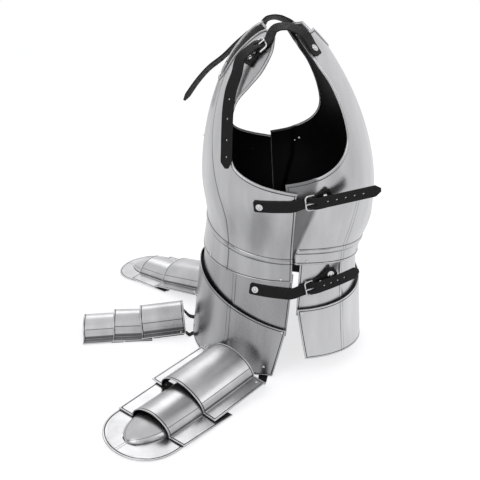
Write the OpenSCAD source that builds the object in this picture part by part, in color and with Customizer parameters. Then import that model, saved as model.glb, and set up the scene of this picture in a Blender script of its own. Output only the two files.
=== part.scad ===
// Cuirass with tassets: breast and back plates, waist plates, fauld, culet and three hung
// tassets of three lames each, standing on its lower edges with the tassets laid out in front.
// The wearer faces -Y, the wearer's left is +X, and the floor is z = 0.

/* [Torso form] */
// Greatest half width, at the chest
chest_half_width = 188; // [160:1:220]
// Half width at the waist
waist_half_width = 150; // [125:1:158]
// Half width at the foot of the plates
hip_half_width = 178; // [165:1:205]
// Half width where the plates end on the shoulder
shoulder_half_width = 104; // [90:1:125]
// Depth of the breast ahead of the middle plane
breast_depth = 148; // [125:1:175]
// Depth of the front at its waist
front_waist_depth = 140; // [118:1:145]
// Depth of the front at its foot
front_hip_depth = 168; // [150:1:190]
// Depth of the front at the top of the shoulder
front_shoulder_depth = 52; // [40:1:65]
// Depth of the back at the shoulder blades
back_depth = 154; // [130:1:180]
// Depth of the back at its waist
back_waist_depth = 132; // [112:1:145]
// Depth of the back at its foot
back_hip_depth = 146; // [135:1:170]
// Depth of the back at the top of the shoulder
back_shoulder_depth = 36; // [28:1:50]
// Squareness of the horizontal sections, 2 is an ellipse
section_power = 2.3; // [2:0.1:2.8]

/* [Torso heights] */
// Height of the side waist
side_waist_z = 205; // [190:1:215]
// Height of the front waist line in the middle
front_waist_z = 241; // [230:1:252]
// Height of the back waist
back_waist_z = 180; // [165:1:190]
// Height of the breast's fullest line
breast_z = 320; // [300:1:335]
// Height where the sides are widest
chest_z = 340; // [320:1:360]
// Height of the lower end of the shoulder blades
blade_z = 262; // [250:1:272]
// Height where the back starts to curve in to the shoulders
back_turn_z = 285; // [275:1:300]
// Height of the shoulder tops
top_z = 568; // [540:1:600]
// Height of the middle of the front neck edge
front_neck_z = 483; // [465:1:500]
// Height of the middle of the back neck edge
back_neck_z = 536; // [515:1:550]
// Height of the lowest point of the armholes
armhole_z = 336; // [320:1:348]

/* [Plates] */
// Thickness of the steel
steel = 1.5; // [1:0.1:2]
// Thickness of the rolled rims at neck and arms
rim = 4.4; // [3:0.1:6]
// Depth of a rolled rim along the plate
rim_depth = 5; // [4:0.5:8]
// How far the waist bead stands out
bead = 2; // [1:0.1:3]
// How far the flared skirts below the waist beads stand out
skirt_flare = 2.5; // [2.4:0.1:4]
// How far the back plate's side steps in to pass under the breast plate
side_step = 4.2; // [3.8:0.1:5.5]
// How far the waist plates lie inside
waist_inset = 0.8; // [0.6:0.1:1.2]
// How far fauld and culet stand outside
lame_stand = 6; // [4:0.1:9]
// Overlap of one plate under the next
plate_lap = 14; // [8:1:20]
// Height of the front waist bead at the side
front_bead_side_z = 206; // [200:1:212]
// Height of the back waist bead in the middle
back_bead_z = 213; // [206:1:222]
// Height of the back waist bead at the side
back_bead_side_z = 225; // [218:1:232]
// Height of the breast plate's lower edge in the middle
front_skirt_z = 186; // [178:1:196]
// Height of the breast plate's lower edge at the side
front_skirt_side_z = 169; // [164:1:176]
// Height of the back plate's lower edge in the middle
back_skirt_z = 182; // [176:1:190]
// Height of the back plate's lower edge at the side
back_skirt_side_z = 201; // [192:1:208]

/* [Fauld and culet] */
// Height of the fauld's top rim in the middle
fauld_top_z = 152; // [140:1:160]
// Height of the fauld's top rim at the side
fauld_top_side_z = 85; // [80:1:105]
// Height of the culet's top rim in the middle
culet_top_z = 133; // [124:1:142]
// Height of the culet's top rim at the side
culet_top_side_z = 123; // [114:1:132]
// Height of the culet's lower corners
culet_corner_z = 33; // [15:1:45]
// Gap from the floor to the fauld's lower edge, above the hanger leathers
fauld_foot = 3.5; // [3.4:0.1:5]

/* [Side tassets] */
// Width of a side tasset over its flanges
tasset_width = 158; // [140:1:170]
// Width of the flat flanges at its sides
tasset_flange = 26; // [18:1:32]
// Height of the upper lame's arch
tasset_arch = 36; // [28:1:44]
// Length of the upper lame
tasset_upper = 116; // [100:1:130]
// Length of the middle lame
tasset_middle = 104; // [90:1:115]
// Length of the lower lame
tasset_lower = 96; // [88:1:115]
// How much the middle lame narrows to its end, for each side
tasset_taper = 6; // [0:1:10]
// Overlap of the lames
tasset_lap = 27; // [18:1:34]
// Height of its root above the floor, where it leans on the fauld
tasset_root_lift = 18; // [10:1:22]
// Heading of the left tasset, turned from straight ahead towards the left
left_heading = 44; // [38:1:50]
// Heading of the right tasset, turned from straight ahead towards the right
right_heading = 38; // [32:1:44]

/* [Middle tasset] */
// Width of the middle tasset
middle_width = 100; // [86:1:108]
// Height of the middle tasset's arch
middle_arch = 40; // [30:1:44]
// Length of its upper lame
middle_upper = 84; // [74:1:94]
// Length of its middle lame
middle_middle = 74; // [66:1:84]
// Length of its lower lame
middle_lower = 76; // [66:1:86]
// Overlap of its lames
middle_lap = 20; // [14:1:26]
// Height of its root above the floor
middle_root_lift = 10; // [4:1:14]

/* [Leather] */
// Width of the buckled straps
strap_width = 20; // [16:0.5:24]
// Thickness of the buckled straps
strap_thick = 2.4; // [2:0.1:3]
// Thickness of the leathers under the tassets
hanger_thick = 2.2; // [1.8:0.1:2.4]
// Width of the leathers under the tassets
hanger_width = 16; // [14:0.5:19]
// Thickness of a buckle's folded leather, one layer
chape_thick = 1.8; // [1.4:0.1:2]

/* [Buckles and rivets] */
// Thickness of the buckle wire
wire = 2.8; // [2.4:0.1:3.2]
// Length of a buckle between its bars
buckle_length = 13; // [12:0.5:15]
// Radius of the large rivet heads
rivet_r = 3.4; // [2.8:0.1:4]
// Radius of the washers under the strap rivets
washer_r = 5.6; // [5:0.1:6.5]
// Radius of the small rivet heads
small_rivet_r = 2.4; // [2:0.1:2.8]
// Running gap between loose pieces
gap = 0.3; // [0.25:0.05:0.5]

/* [Hidden] */

STEEL = "#b9bcc0";
BRIGHT = "#dcdee0";
LEATHER = "#2a2a2c";
UP = [0, 0, 1];

// Smooth step from 0 to 1
function ease(t) = let (u = min(max(t, 0), 1)) u * u * (3 - 2 * u);
function mix(a, b, t) = a + (b - a) * t;

// Half width, front depth and back depth of the torso at a height
function half_width(z) = z > chest_z
  ? let (u = (z - chest_z) / (top_z - chest_z))
    shoulder_half_width + (chest_half_width - shoulder_half_width) * pow(max(1 - pow(u, 3), 0), 0.85)
  : z > side_waist_z
  ? mix(waist_half_width, chest_half_width, ease((z - side_waist_z) / (chest_z - side_waist_z)))
  : mix(waist_half_width, hip_half_width, pow((side_waist_z - z) / side_waist_z, 1.5));
function front_depth(z) = z > breast_z
  ? let (u = (z - breast_z) / (top_z - breast_z))
    front_shoulder_depth + (breast_depth - front_shoulder_depth) * pow(max(1 - u * u, 0), 0.75)
  : z > front_waist_z
  ? mix(front_waist_depth, breast_depth, ease((z - front_waist_z) / (breast_z - front_waist_z)))
  : mix(front_waist_depth, front_hip_depth, pow((front_waist_z - z) / front_waist_z, 1.1));
function back_depth_at(z) = z > back_turn_z
  ? let (u = (z - back_turn_z) / (top_z - back_turn_z))
    back_shoulder_depth + (back_depth - back_shoulder_depth) * max(1 - u * u, 0)
  : z > back_waist_z
  ? mix(back_waist_depth, back_depth, ease((z - back_waist_z) / (blade_z - back_waist_z)))
  : mix(back_waist_depth, back_hip_depth, pow((back_waist_z - z) / back_waist_z, 1.2));

// Point of the torso: angle c from the middle line of the front (facing -1) or back (facing 1),
// positive towards the wearer's left, at height z, standing out by off
function torso(facing, c, z, off) =
  let (ahead = facing * cos(c), side = sin(c),
       depth = ahead > 0 ? back_depth_at(z) : front_depth(z),
       r = pow(pow(abs(side) / half_width(z), section_power)
             + pow(abs(ahead) / depth, section_power), -1 / section_power) + off)
  [r * side, r * ahead, z];

// Smooth curve through points, t from 0 to 1
function curve(k, t) =
  let (n = len(k) - 1, i = min(floor(t * n), n - 1), f = t * n - i,
       p0 = k[max(i - 1, 0)], p1 = k[i], p2 = k[i + 1], p3 = k[min(i + 2, n)])
  0.5 * (2 * p1 + (p2 - p0) * f + (2 * p0 - 5 * p1 + 4 * p2 - p3) * f * f
         + (3 * p1 - p0 - 3 * p2 + p3) * f * f * f);

// Closed sheet between two grids of points, each a list of rows
module sheet(outer, inner) {
  rows = len(outer);
  cols = len(outer[0]);
  half = rows * cols;
  function at(side, i, j) = side * half + i * cols + j;
  polyhedron(
    points = concat([for (r = outer) each r], [for (r = inner) each r]),
    faces = concat(
      [for (i = [0:rows - 2], j = [0:cols - 2])
        each [[at(0, i, j), at(0, i + 1, j), at(0, i + 1, j + 1)],
              [at(0, i, j), at(0, i + 1, j + 1), at(0, i, j + 1)],
              [at(1, i, j), at(1, i + 1, j + 1), at(1, i + 1, j)],
              [at(1, i, j), at(1, i, j + 1), at(1, i + 1, j + 1)]]],
      [for (i = [0:rows - 2])
        each [[at(0, i, 0), at(1, i, 0), at(1, i + 1, 0)],
              [at(0, i, 0), at(1, i + 1, 0), at(0, i + 1, 0)],
              [at(0, i, cols - 1), at(1, i + 1, cols - 1), at(1, i, cols - 1)],
              [at(0, i, cols - 1), at(0, i + 1, cols - 1), at(1, i + 1, cols - 1)]]],
      [for (j = [0:cols - 2])
        each [[at(0, 0, j), at(1, 0, j + 1), at(1, 0, j)],
              [at(0, 0, j), at(0, 0, j + 1), at(1, 0, j + 1)],
              [at(0, rows - 1, j), at(1, rows - 1, j), at(1, rows - 1, j + 1)],
              [at(0, rows - 1, j), at(1, rows - 1, j + 1), at(0, rows - 1, j + 1)]]]),
    convexity = 8);
}

// Plate on the torso from rows of [angle, height, standing out, half thickness]
module plate(facing, rows) {
  sheet([for (r = rows) [for (p = r) torso(facing, p[0], p[1], p[2] + p[3])]],
        [for (r = rows) [for (p = r) torso(facing, p[0], p[1], p[2] - p[3])]]);
}

// Places across a plate from its right side to its left, as shares of its half width
function across(half) = concat([for (i = [len(half) - 1:-1:1]) -half[i]], half);
neck_share = 0.36;
shoulder_share = 0.46;
plate_cols = across(concat([for (i = [0:6]) neck_share * i / 6],
                           [shoulder_share - 0.05, shoulder_share],
                           [for (i = [1:14]) mix(shoulder_share, 1, i / 14)]));
band_cols = across([for (i = [0:12]) i / 12]);

// Upper edge of a plate, s from 0 at the middle to 1 at the side: neck, shoulder end, armhole
function top_edge(s, neck, armhole) = s < neck_share
  ? curve(neck, s / neck_share)
  : s < shoulder_share
  ? mix(neck[len(neck) - 1], armhole[0], (s - neck_share) / (shoulder_share - neck_share))
  : curve(armhole, (s - shoulder_share) / (1 - shoulder_share));

// Outlines of neck and armholes, as [angle from the middle, height]
front_neck = [for (p = [[0, 0], [14, 0.04], [25, 0.2], [32, 0.48], [45, 0.76], [56, 0.93], [66, 1]])
  [p[0], mix(front_neck_z, top_z - 2, p[1])]];
front_armhole = [for (p = [[75, 1], [75, 0.915], [70.5, 0.79], [64, 0.69], [56.5, 0.575], [55, 0.44],
  [56, 0.28], [60, 0.145], [73, 0.056], [91, 0]]) [p[0], mix(armhole_z, top_z - 12, p[1])]];
back_neck = [for (p = [[0, 0], [18, 0.03], [36, 0.15], [52, 0.4], [63, 0.75], [70, 1]])
  [p[0], mix(back_neck_z, top_z - 1, p[1])]];
back_armhole = [for (p = [[90, 1], [83.5, 0.9], [77.5, 0.79], [71, 0.67], [65.5, 0.48], [64, 0.29],
  [70, 0.141], [82, 0.042], [95, 0]]) [p[0], mix(armhole_z + 13, top_z - 8, p[1])]];

// How far a column bends to the middle to pass beside the armhole, by its share of the half width
front_bend = [[0, 0], [0.12, 3.4], [0.24, 8.7], [0.36, 18.4], [0.46, 25.7], [0.52, 26], [0.58, 23.1],
  [0.64, 19.1], [0.7, 13.5], [0.76, 9], [0.82, 4.6], [0.88, 2.3], [1, 0]];
back_bend = [[0, 0], [0.12, 5], [0.24, 10], [0.36, 12.9], [0.46, 25.2], [0.53, 21.3], [0.595, 17.8],
  [0.66, 13.5], [0.73, 8.2], [0.8, 3.7], [0.865, 1.8], [1, 0]];
function bent(bead_p, top_p, bend, f) = mix(bead_p, top_p, f) - [6.75 * f * f * (1 - f) * bend, 0];

function front_bead_z(c) = mix(front_waist_z, front_bead_side_z, ease(abs(c) / 90));
function front_edge_z(c) = mix(front_skirt_z, front_skirt_side_z, ease(abs(c) / 90));
function back_bead_at(c) = mix(back_bead_z, back_bead_side_z, ease(abs(c) / 90));
function back_edge_z(c) = mix(back_skirt_z, back_skirt_side_z, ease(abs(c) / 90));

// How far the back plate has stepped in, from 0 to 1, towards the side
function stepped(c, z) =
  let (start = mix(86.4, 79, min(max((z - 215) / 85, 0), 1))) ease((abs(c) - start) / 2.5);

// Rows of one column of a plate from its lower edge over the bead to its upper edge,
// as [share of the way from lower edge to bead, share from bead to top, standing out, half]
function column(foot, bead_p, top_p, bend, facing, sgn) =
  let (low = norm(torso(facing, bead_p[0], bead_p[1], 0) - torso(facing, foot[0], foot[1], 0)),
       high = norm(torso(facing, top_p[0], top_p[1], 0) - torso(facing, bead_p[0], bead_p[1], 0)),
       near = bent(bead_p, top_p, bend, 0.97),
       last = norm(torso(facing, top_p[0], top_p[1], 0) - torso(facing, near[0], near[1], 0)) / 0.03,
       thin = steel / 2)
  concat(
    [for (f = [0, 0.45, 1 - 5 / low])
      let (p = mix(foot, bead_p, f)) [sgn * p[0], p[1], skirt_flare * (1 - f), thin]],
    [[sgn * bead_p[0], bead_p[1], bead, thin]],
    [for (k = [0:11])
      let (f = mix(5 / high, 1 - (rim_depth + 1.6) / last, k / 11), p = bent(bead_p, top_p, bend, f))
        [sgn * p[0], p[1], 0, thin]],
    [for (e = [[rim_depth, 1], [1, 1], [0, 0.7]])
      let (p = bent(bead_p, top_p, bend, 1 - e[0] / last))
        [sgn * p[0], p[1], 0.6, thin + (rim - steel) / 2 * e[1]]]);

function turned(cols) = [for (i = [0:len(cols[0]) - 1]) [for (c = cols) c[i]]];

module breastplate() {
  color(STEEL) plate(-1, turned([for (s = plate_cols)
    let (m = abs(s), c = 91 * m)
      column([c, front_edge_z(c)], [c, front_bead_z(c)],
             top_edge(m, front_neck, front_armhole), lookup(m, front_bend), -1, s < 0 ? -1 : 1)]));
}

module backplate() {
  color(STEEL) plate(1, [for (r = turned([for (s = plate_cols)
    let (m = abs(s), c = 94 * m)
      column([c, back_edge_z(c)], [c, back_bead_at(c)],
             top_edge(m, back_neck, back_armhole), lookup(m, back_bend), 1, s < 0 ? 1 : -1)]))
    [for (p = r) let (j = stepped(p[0], p[1]))
      [p[0], p[1], p[2] * (1 - j) - side_step * j, mix(p[3], steel / 2, j)]]]);
}

// Plain band between two edges, each given at shares of the way across: [angle, height]
module band(facing, low, high, low_off, high_off, rows) {
  plate(facing, [for (i = [0:rows]) [for (j = [0:len(low) - 1])
    let (p = mix(low[j], high[j], i / rows))
      [facing * -p[0], p[1], mix(low_off, high_off, i / rows), steel / 2]]]);
}

function fauld_rim_z(c) = mix(fauld_top_side_z, fauld_top_z, pow(max(cos(c), 0), 1.3));
function culet_rim_z(c) = mix(culet_top_z, culet_top_side_z, ease(abs(c) / 90));

module front_waist_plate() {
  color(STEEL) band(-1,
    [for (s = band_cols) [88 * s, fauld_rim_z(88 * s) - plate_lap]],
    [for (s = band_cols) [92 * s, front_edge_z(92 * s) + plate_lap]],
    -waist_inset, -waist_inset, 4);
}

module fauld_lame() {
  color(STEEL) band(-1,
    [for (s = band_cols) [81 * s, fauld_foot]],
    [for (s = band_cols) [88 * s, fauld_rim_z(88 * s)]],
    lame_stand - 1, lame_stand, 5);
}

module back_waist_plate() {
  color(STEEL) band(1,
    [for (s = band_cols) [86 * s, culet_rim_z(86 * s) - plate_lap]],
    [for (s = band_cols) [84 * s, back_edge_z(84 * s) + plate_lap]],
    -waist_inset, -waist_inset, 4);
}

module culet_lame() {
  color(STEEL) band(1,
    [for (s = band_cols) [81 * s, mix(0.2, culet_corner_z, sin(90 * abs(s)))]],
    [for (s = band_cols) [86 * s, culet_rim_z(86 * s)]],
    lame_stand - 1, lame_stand, 5);
}

// Rivet hammered flush, where another plate slides over it
module flush_rivet(r, shank) {
  color(BRIGHT) {
    cylinder(r = r, h = gap, $fn = 24);
    translate([0, 0, -shank]) cylinder(r = r * 0.5, h = shank + gap / 2, $fn = 24);
  }
}

// Domed rivet on its shank, standing on z = 0 with the shank going down
module rivet(r, shank) {
  color(BRIGHT) {
    rotate_extrude($fn = 24) intersection() {
      translate([0, -r * 0.55]) circle(r = r * 1.14, $fn = 40);
      square([r, r]);
    }
    translate([0, 0, -shank]) cylinder(r = r * 0.5, h = shank + 0.2, $fn = 24);
  }
}

function unit(v) = v / norm(v);

// Frame on the torso's surface: [place, along, across, outwards], along as near as it can be to way
function seat(facing, c, z, off, way) =
  let (p = torso(facing, c, z, off),
       level = torso(facing, c + 1, z, off) - torso(facing, c - 1, z, off),
       up = torso(facing, c, z + 2, off) - torso(facing, c, z - 2, off),
       n = unit(cross(level, up)),
       out = n * (n * [p[0], p[1], 0] > 0 ? 1 : -1),
       along = unit(way - out * (way * out)))
  [p, along, cross(out, along), out];

// Point of a frame at distances along, across and outwards
function at(f, u, v, n) = f[0] + u * f[1] + v * f[2] + n * f[3];

// Sets things into a frame, x along, y across and z outwards
module placed(f) {
  translate(f[0])
    rotate([atan2(f[2][2], f[3][2]), -asin(f[1][2]), atan2(f[1][1], f[1][0])]) children();
}

breast_rivets = [breast_z - 44, breast_z + 63];
// Rivets on the breast's middle line, and those that hold the waist plates under the skirts
module plate_rivets() {
  for (z = breast_rivets)
    placed(seat(-1, 0, z, steel / 2, UP)) rivet(small_rivet_r, steel + 0.6);
  for (side = [-1, 1]) {
    for (c = [30, 84])
      placed(seat(-1, side * c, front_edge_z(c) + 6, skirt_flare + steel / 2, UP))
        rivet(small_rivet_r, skirt_flare + steel + waist_inset);
    for (c = [30, 80])
      placed(seat(1, side * c, back_edge_z(c) + 6, skirt_flare + steel / 2, UP))
        rivet(small_rivet_r, skirt_flare + steel + waist_inset);
  }
}

// Tassets: [root x, root y, [headings], [lengths], lap, [root widths], [end widths],
// [flanges at root], [flanges at end], [arches at root], [arches at end], height of the root,
// shift of the middle lame to the side]
left_root = [168.3, -97.4];
right_root = [-150, -128];
middle_root = [4, -190];
function side_tasset(root, way, shift) = [root, way, [tasset_upper, tasset_middle, tasset_lower],
  tasset_lap, [tasset_width, tasset_width - 2, tasset_width - 18],
  [tasset_width, tasset_width - 2 - 2 * tasset_taper, 0],
  [tasset_flange, tasset_flange + 9, tasset_flange + 6],
  [tasset_flange, tasset_flange + 5, 0],
  [tasset_arch, tasset_arch - 9, tasset_arch - 19], [tasset_arch - 3, tasset_arch - 11, 0],
  tasset_root_lift, shift];
left_tasset = side_tasset(left_root, [left_heading, left_heading + 6, left_heading + 3], 6);
right_tasset = side_tasset(right_root, [-right_heading, 4 - right_heading, 8 - right_heading], 3);
middle_tasset = [middle_root, [6, 6, 6], [middle_upper, middle_middle, middle_lower],
  middle_lap, [middle_width, middle_width - 2, middle_width - 4],
  [middle_width + 1, middle_width - 1, middle_width - 3], [14, 14.5, 15], [14, 14.5, 15],
  [middle_arch, middle_arch - 4, middle_arch - 8], [middle_arch, middle_arch - 4, middle_arch - 8],
  middle_root_lift, 0];

// Each lame lies on its leathers and rises to ride over the next
function lame_lift(t, k) = hanger_thick + gap + (k == 0 ? t[10] : 0);
function lame_pitch(t, k) = k == 2 ? 0
  : k == 1 ? asin((steel + 2 * gap) / (t[2][k] - t[3]))
  : asin((2 * (steel + 2 * gap) - t[10]) / t[2][k]);
function ahead(h) = [sin(h), -cos(h)];
function aside(h) = [cos(h), sin(h)];
function lame_root(t, k) = k == 0 ? t[0]
  : lame_root(t, k - 1) + (t[2][k - 1] - t[3]) * ahead(t[1][k - 1])
    + (k == 1 ? t[11] * aside(t[1][0]) : [0, 0]);

module lame_place(t, k) {
  translate(concat(lame_root(t, k), [lame_lift(t, k)]))
    rotate([0, 0, t[1][k] - 90]) rotate([0, -lame_pitch(t, k), 0]) children();
}

// One section of a lame: flat flanges and a round arch between them
function lame_section(u, half, arch_half, high, lift) = concat([[u, half, lift]],
  [for (i = [0:12]) let (a = 180 * i / 12) [u, arch_half * cos(a), lift + high * sin(a)]],
  [[u, -half, lift]]);

module lame(t, k) {
  rows = 4;
  sections = [for (i = [0:rows]) let (f = i / rows, half = mix(t[4][k], t[5][k], f) / 2)
    [t[2][k] * f, half, half - mix(t[6][k], t[7][k], f), mix(t[8][k], t[9][k], f)]];
  color(STEEL) lame_place(t, k)
    sheet([for (s = sections) lame_section(s[0], s[1], s[2], s[3], steel)],
          [for (s = sections) lame_section(s[0], s[1], s[2] - steel, s[3], 0)]);
}

// The lowest lame of a side tasset: a spoon end with a raised oval in its middle
module spoon_lame(t) {
  rows = 12;
  long = t[2][2];
  boss = long * 0.74;
  straight = long * 0.3;
  sections = [for (i = [0:rows]) let (u = long * sin(90 * i / rows),
    end = max(u - straight, 0) / (long - straight), dome = sqrt(max(1 - pow(u / boss, 2), 0)))
    [u, max(t[4][2] / 2 * sqrt(max(1 - pow(end, 2.3), 0)), 5),
     max((t[4][2] / 2 - t[6][2]) * dome, 3), t[8][2] * dome]];
  color(STEEL) lame_place(t, 2)
    sheet([for (s = sections) lame_section(s[0], s[1], s[2], s[3], steel)],
          [for (s = sections) lame_section(s[0], s[1], s[2] - steel, s[3], 0)]);
}

// Where the leathers lie across a lame
function hanger_v(t, k) = t[4][k] / 2 - t[6][k] / 2 - (k == 2 ? 1 : 0);

module lame_leathers(t, k) {
  start = k == 0 ? hanger_thick / 2 : 0;
  long = k == 2 ? t[2][2] * 0.3
    : t[2][k] - t[3] - 2 - hanger_v(t, k) * sin(abs(t[1][k + 1] - t[1][k]));
  wide = min(hanger_width, t[6][k] - 2);
  color(LEATHER) lame_place(t, k) for (side = [-1, 1])
    translate([start, side * hanger_v(t, k) - wide / 2, -gap - hanger_thick])
      cube([long - start, wide, hanger_thick]);
}

module lame_rivets(t, k) {
  lame_place(t, k) for (side = [-1, 1]) translate([9, side * hanger_v(t, k), steel]) {
    if (k == 0) rivet(small_rivet_r, steel + gap + hanger_thick);
    else flush_rivet(small_rivet_r, steel + gap + hanger_thick);
  }
}

// Leather strip through places given as [middle, across, out], each across and out of length 1
module ribbon(places, widths, thick) {
  function row(side) = [for (i = [0:len(places) - 1]) let (p = places[i])
    [for (k = [1, -1]) p[0] + p[1] * k * widths[i] / 2 + p[2] * side * thick / 2]];
  sheet(row(1), row(-1));
}

// Places of a ribbon through middle points, each with the way its face looks
function laid(m, look) = [for (i = [0:len(m) - 1])
  let (n = len(m) - 1, way = unit(m[min(i + 1, n)] - m[max(i - 1, 0)]),
       across = unit(cross(look[i], way)))
  [m[i], across, cross(way, across)]];

// The leathers that hang the tassets inside the fauld, as [tasset, side of it, angle on the fauld]
HANGERS = [[left_tasset, 1, 76], [left_tasset, -1, 36], [middle_tasset, 1, 11],
  [middle_tasset, -1, -10], [right_tasset, 1, -36], [right_tasset, -1, -76]];
hanger_top = 26;
hanger_rivet_z = 19;
hanger_bow = 0.9;
pivot_c = 85.5;
module hanger_leathers() {
  inside = lame_stand - 1 - steel / 2 - gap - hanger_bow - hanger_thick / 2;
  color(LEATHER) for (h = HANGERS) {
    t = h[0];
    way = concat(ahead(t[1][0]), [0]);
    side = concat(aside(t[1][0]), [0]);
    foot = concat(t[0], [hanger_thick / 2 + t[10]]) + side * h[1] * hanger_v(t, 0) - way * 2 * gap;
    top = torso(-1, h[2], hanger_top, inside);
    low = torso(-1, h[2], 5, inside - 0.6);
    facing = seat(-1, h[2], hanger_top, inside, UP)[3];
    out = unit([facing[0], facing[1], 0]);
    along = cross(UP, out);
    floor_z = hanger_thick / 2;
    bend = [low[0], low[1], floor_z + 0.2] + 0.9 * out;
    past = [low[0], low[1], floor_z] + (lame_stand + 0.3) * out;
    near = max(0, 1 - norm([foot[0] - past[0], foot[1] - past[1]]) / 12);
    rise = mix(past, foot, 0.4);
    climb = [rise[0], rise[1], floor_z + near * 0.5 * (foot[2] - floor_z)];
    half_turned = unit(along + side);
    line = [top, low, bend, past, climb, foot];
    acrosses = [along, along, along, unit(along + half_turned), unit(half_turned + side), side];
    ribbon([for (i = [0:5]) let (step = line[min(i + 1, 5)] - line[max(i - 1, 0)])
              [line[i], acrosses[i], i == 5 ? unit(cross(way + UP * 0.4, side))
                                            : unit(cross(step, acrosses[i]))]],
           [for (i = [0:5]) min(hanger_width, t[6][0] - 2)], hanger_thick);
  }
}

// Pivots of the fauld at its upper corners, and the rivets of the hanger leathers
module fauld_rivets() {
  for (side = [-1, 1])
    placed(seat(-1, side * pivot_c, fauld_rim_z(pivot_c) - 6, lame_stand + steel / 2, UP))
      rivet(small_rivet_r, lame_stand + waist_inset - gap);
  for (h = HANGERS)
    placed(seat(-1, h[2], hanger_rivet_z, lame_stand - 1 + steel / 2, UP))
      rivet(small_rivet_r, steel + gap + hanger_bow + hanger_thick);
}

module culet_rivets() {
  for (side = [-1, 1])
    placed(seat(1, side * 83, culet_rim_z(83) - 8, lame_stand + steel / 2, UP))
      rivet(small_rivet_r, lame_stand + waist_inset - gap);
}

// Frames of the buckles, their place being the foot of the heel bar on the plate
function tilted(angle) = [0, cos(angle), sin(angle)];
chest_seat = seat(1, 81.5, 324, steel / 2, tilted(9));
waist_seat = seat(1, 76, 160, steel / 2, tilted(13));
shoulder_drop = 28;
shoulder_seat = seat(-1, 64.5, top_z - shoulder_drop, steel / 2 + 0.4, [-0.2, -0.55, -0.75]);
heel_n = 4.4;

// Buckle frame: heel bar along y at x = 0, bent wire round to the outer bar
module buckle_frame() {
  half = (strap_width + 2 + wire) / 2;
  bend = 5;
  color(BRIGHT) translate([0, 0, heel_n]) {
    translate([0, half, 0]) rotate([90, 0, 0]) cylinder(d = wire, h = 2 * half, $fn = 32);
    for (side = [-1, 1]) {
      translate([0, side * half, 0]) sphere(d = wire, $fn = 32);
      translate([bend - buckle_length, side * half, 0]) rotate([0, 90, 0])
        cylinder(d = wire, h = buckle_length - bend, $fn = 32);
      translate([bend - buckle_length, side * (half - bend), 0]) rotate([0, 0, side > 0 ? 90 : 180])
        rotate_extrude(angle = 90, $fn = 48) translate([bend, 0]) circle(d = wire, $fn = 32);
    }
    translate([-buckle_length, half - bend, 0]) rotate([90, 0, 0])
      cylinder(d = wire, h = 2 * (half - bend), $fn = 32);
  }
}

// Tongue: an eye round the heel bar and a shank that lies on the outer bar
module tongue() {
  color(BRIGHT) translate([0, 0, heel_n]) {
    rotate([90, 0, 0]) difference() {
      cylinder(r = wire / 2 + 1.16, h = 3.6, center = true, $fn = 32);
      cylinder(r = wire / 2 + 0.06, h = 4, center = true, $fn = 32);
    }
    translate([-0.5, 0, wire / 2 + 1.3]) rotate([0, -89.2, 0])
      cylinder(r = 1.2, h = buckle_length + 1.4, $fn = 24);
  }
}

// Folded leather that holds a buckle: eye round the heel bar and two layers on the plate, turned
// up by flap_turn, ending at long, with holes for its two rivets
flap_turn = 21;
module chape(long) {
  wide = strap_width - 2;
  layers = 2 * chape_thick;
  ring = wire / 2 + 0.1 + chape_thick;
  color(LEATHER) difference() {
    union() {
      translate([0, wide / 2, heel_n]) rotate([90, 0, 0]) cylinder(r = ring, h = wide, $fn = 40);
      translate([0, 0, gap]) linear_extrude(layers)
        polygon([[0, -wide / 2], [1, -wide / 2],
          for (p = [[long - 3, -wide / 2], [long, -wide / 2 + 3], [long, wide / 2 - 3],
                    [long - 3, wide / 2]])
            [p[0] * cos(flap_turn) - p[1] * sin(flap_turn),
             p[0] * sin(flap_turn) + p[1] * cos(flap_turn)],
          [0, wide / 2]]);
    }
    translate([0, 0, heel_n]) rotate([90, 0, 0])
      cylinder(r = wire / 2 + 0.1, h = 2 * wide, center = true, $fn = 40);
    translate([-8, -2.6, -1]) cube([11.2, 5.2, 12]);
  }
}

// Place of a chape's rivet, long from the heel bar
function flap_at(f, long) = at(f, long * cos(flap_turn), long * sin(flap_turn), gap + 2 * chape_thick);
chest_flap = [9, 19, 30];
waist_flap = [16, 37, 48];
shoulder_flap = [9, 19, 30];

// Middle line of a strap through a buckle, from ahead of its outer bar to over its heel bar
function threaded(f) = [for (p = [[-buckle_length - 3, 1.6], [2 - buckle_length, 1.7], [-1, 9.9],
  [4.5, 10.6]]) at(f, p[0], 0, p[1])];
laid_off = steel / 2 + gap + strap_thick / 2 + 0.2;
chest_line = concat(
  [for (c = [70, 70.7, 73.1, 77, 81, 85, 88.5]) torso(-1, c, mix(312, 314.5, (c - 70) / 18), laid_off)],
  threaded(chest_seat),
  [for (u = [20, 40, 60, 80, 97, 104]) at(chest_seat, u, 0, 10.4 - u * 0.02)]);
// On the right side the free end of the chest strap has curled upwards
right_chest_line = concat([for (i = [0:10]) chest_line[i]],
  [for (p = [[20, 4], [34, 13], [50, 28], [68, 45], [86, 58], [103, 66], [114, 69]])
    at(chest_seat, p[0], p[1], 10.4 - p[0] * 0.02)]);
waist_line = concat(
  [for (c = [64.8, 65.6, 68.5, 73, 79, 85, 90])
    torso(-1, c, mix(155, 149, (c - 65) / 25), laid_off + 0.2 - waist_inset)],
  threaded(waist_seat),
  [for (u = [18, 34, 50, 66, 80, 87]) at(waist_seat, u, 0, 10.6 - 14 * pow(u / 87, 2))]);
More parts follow.
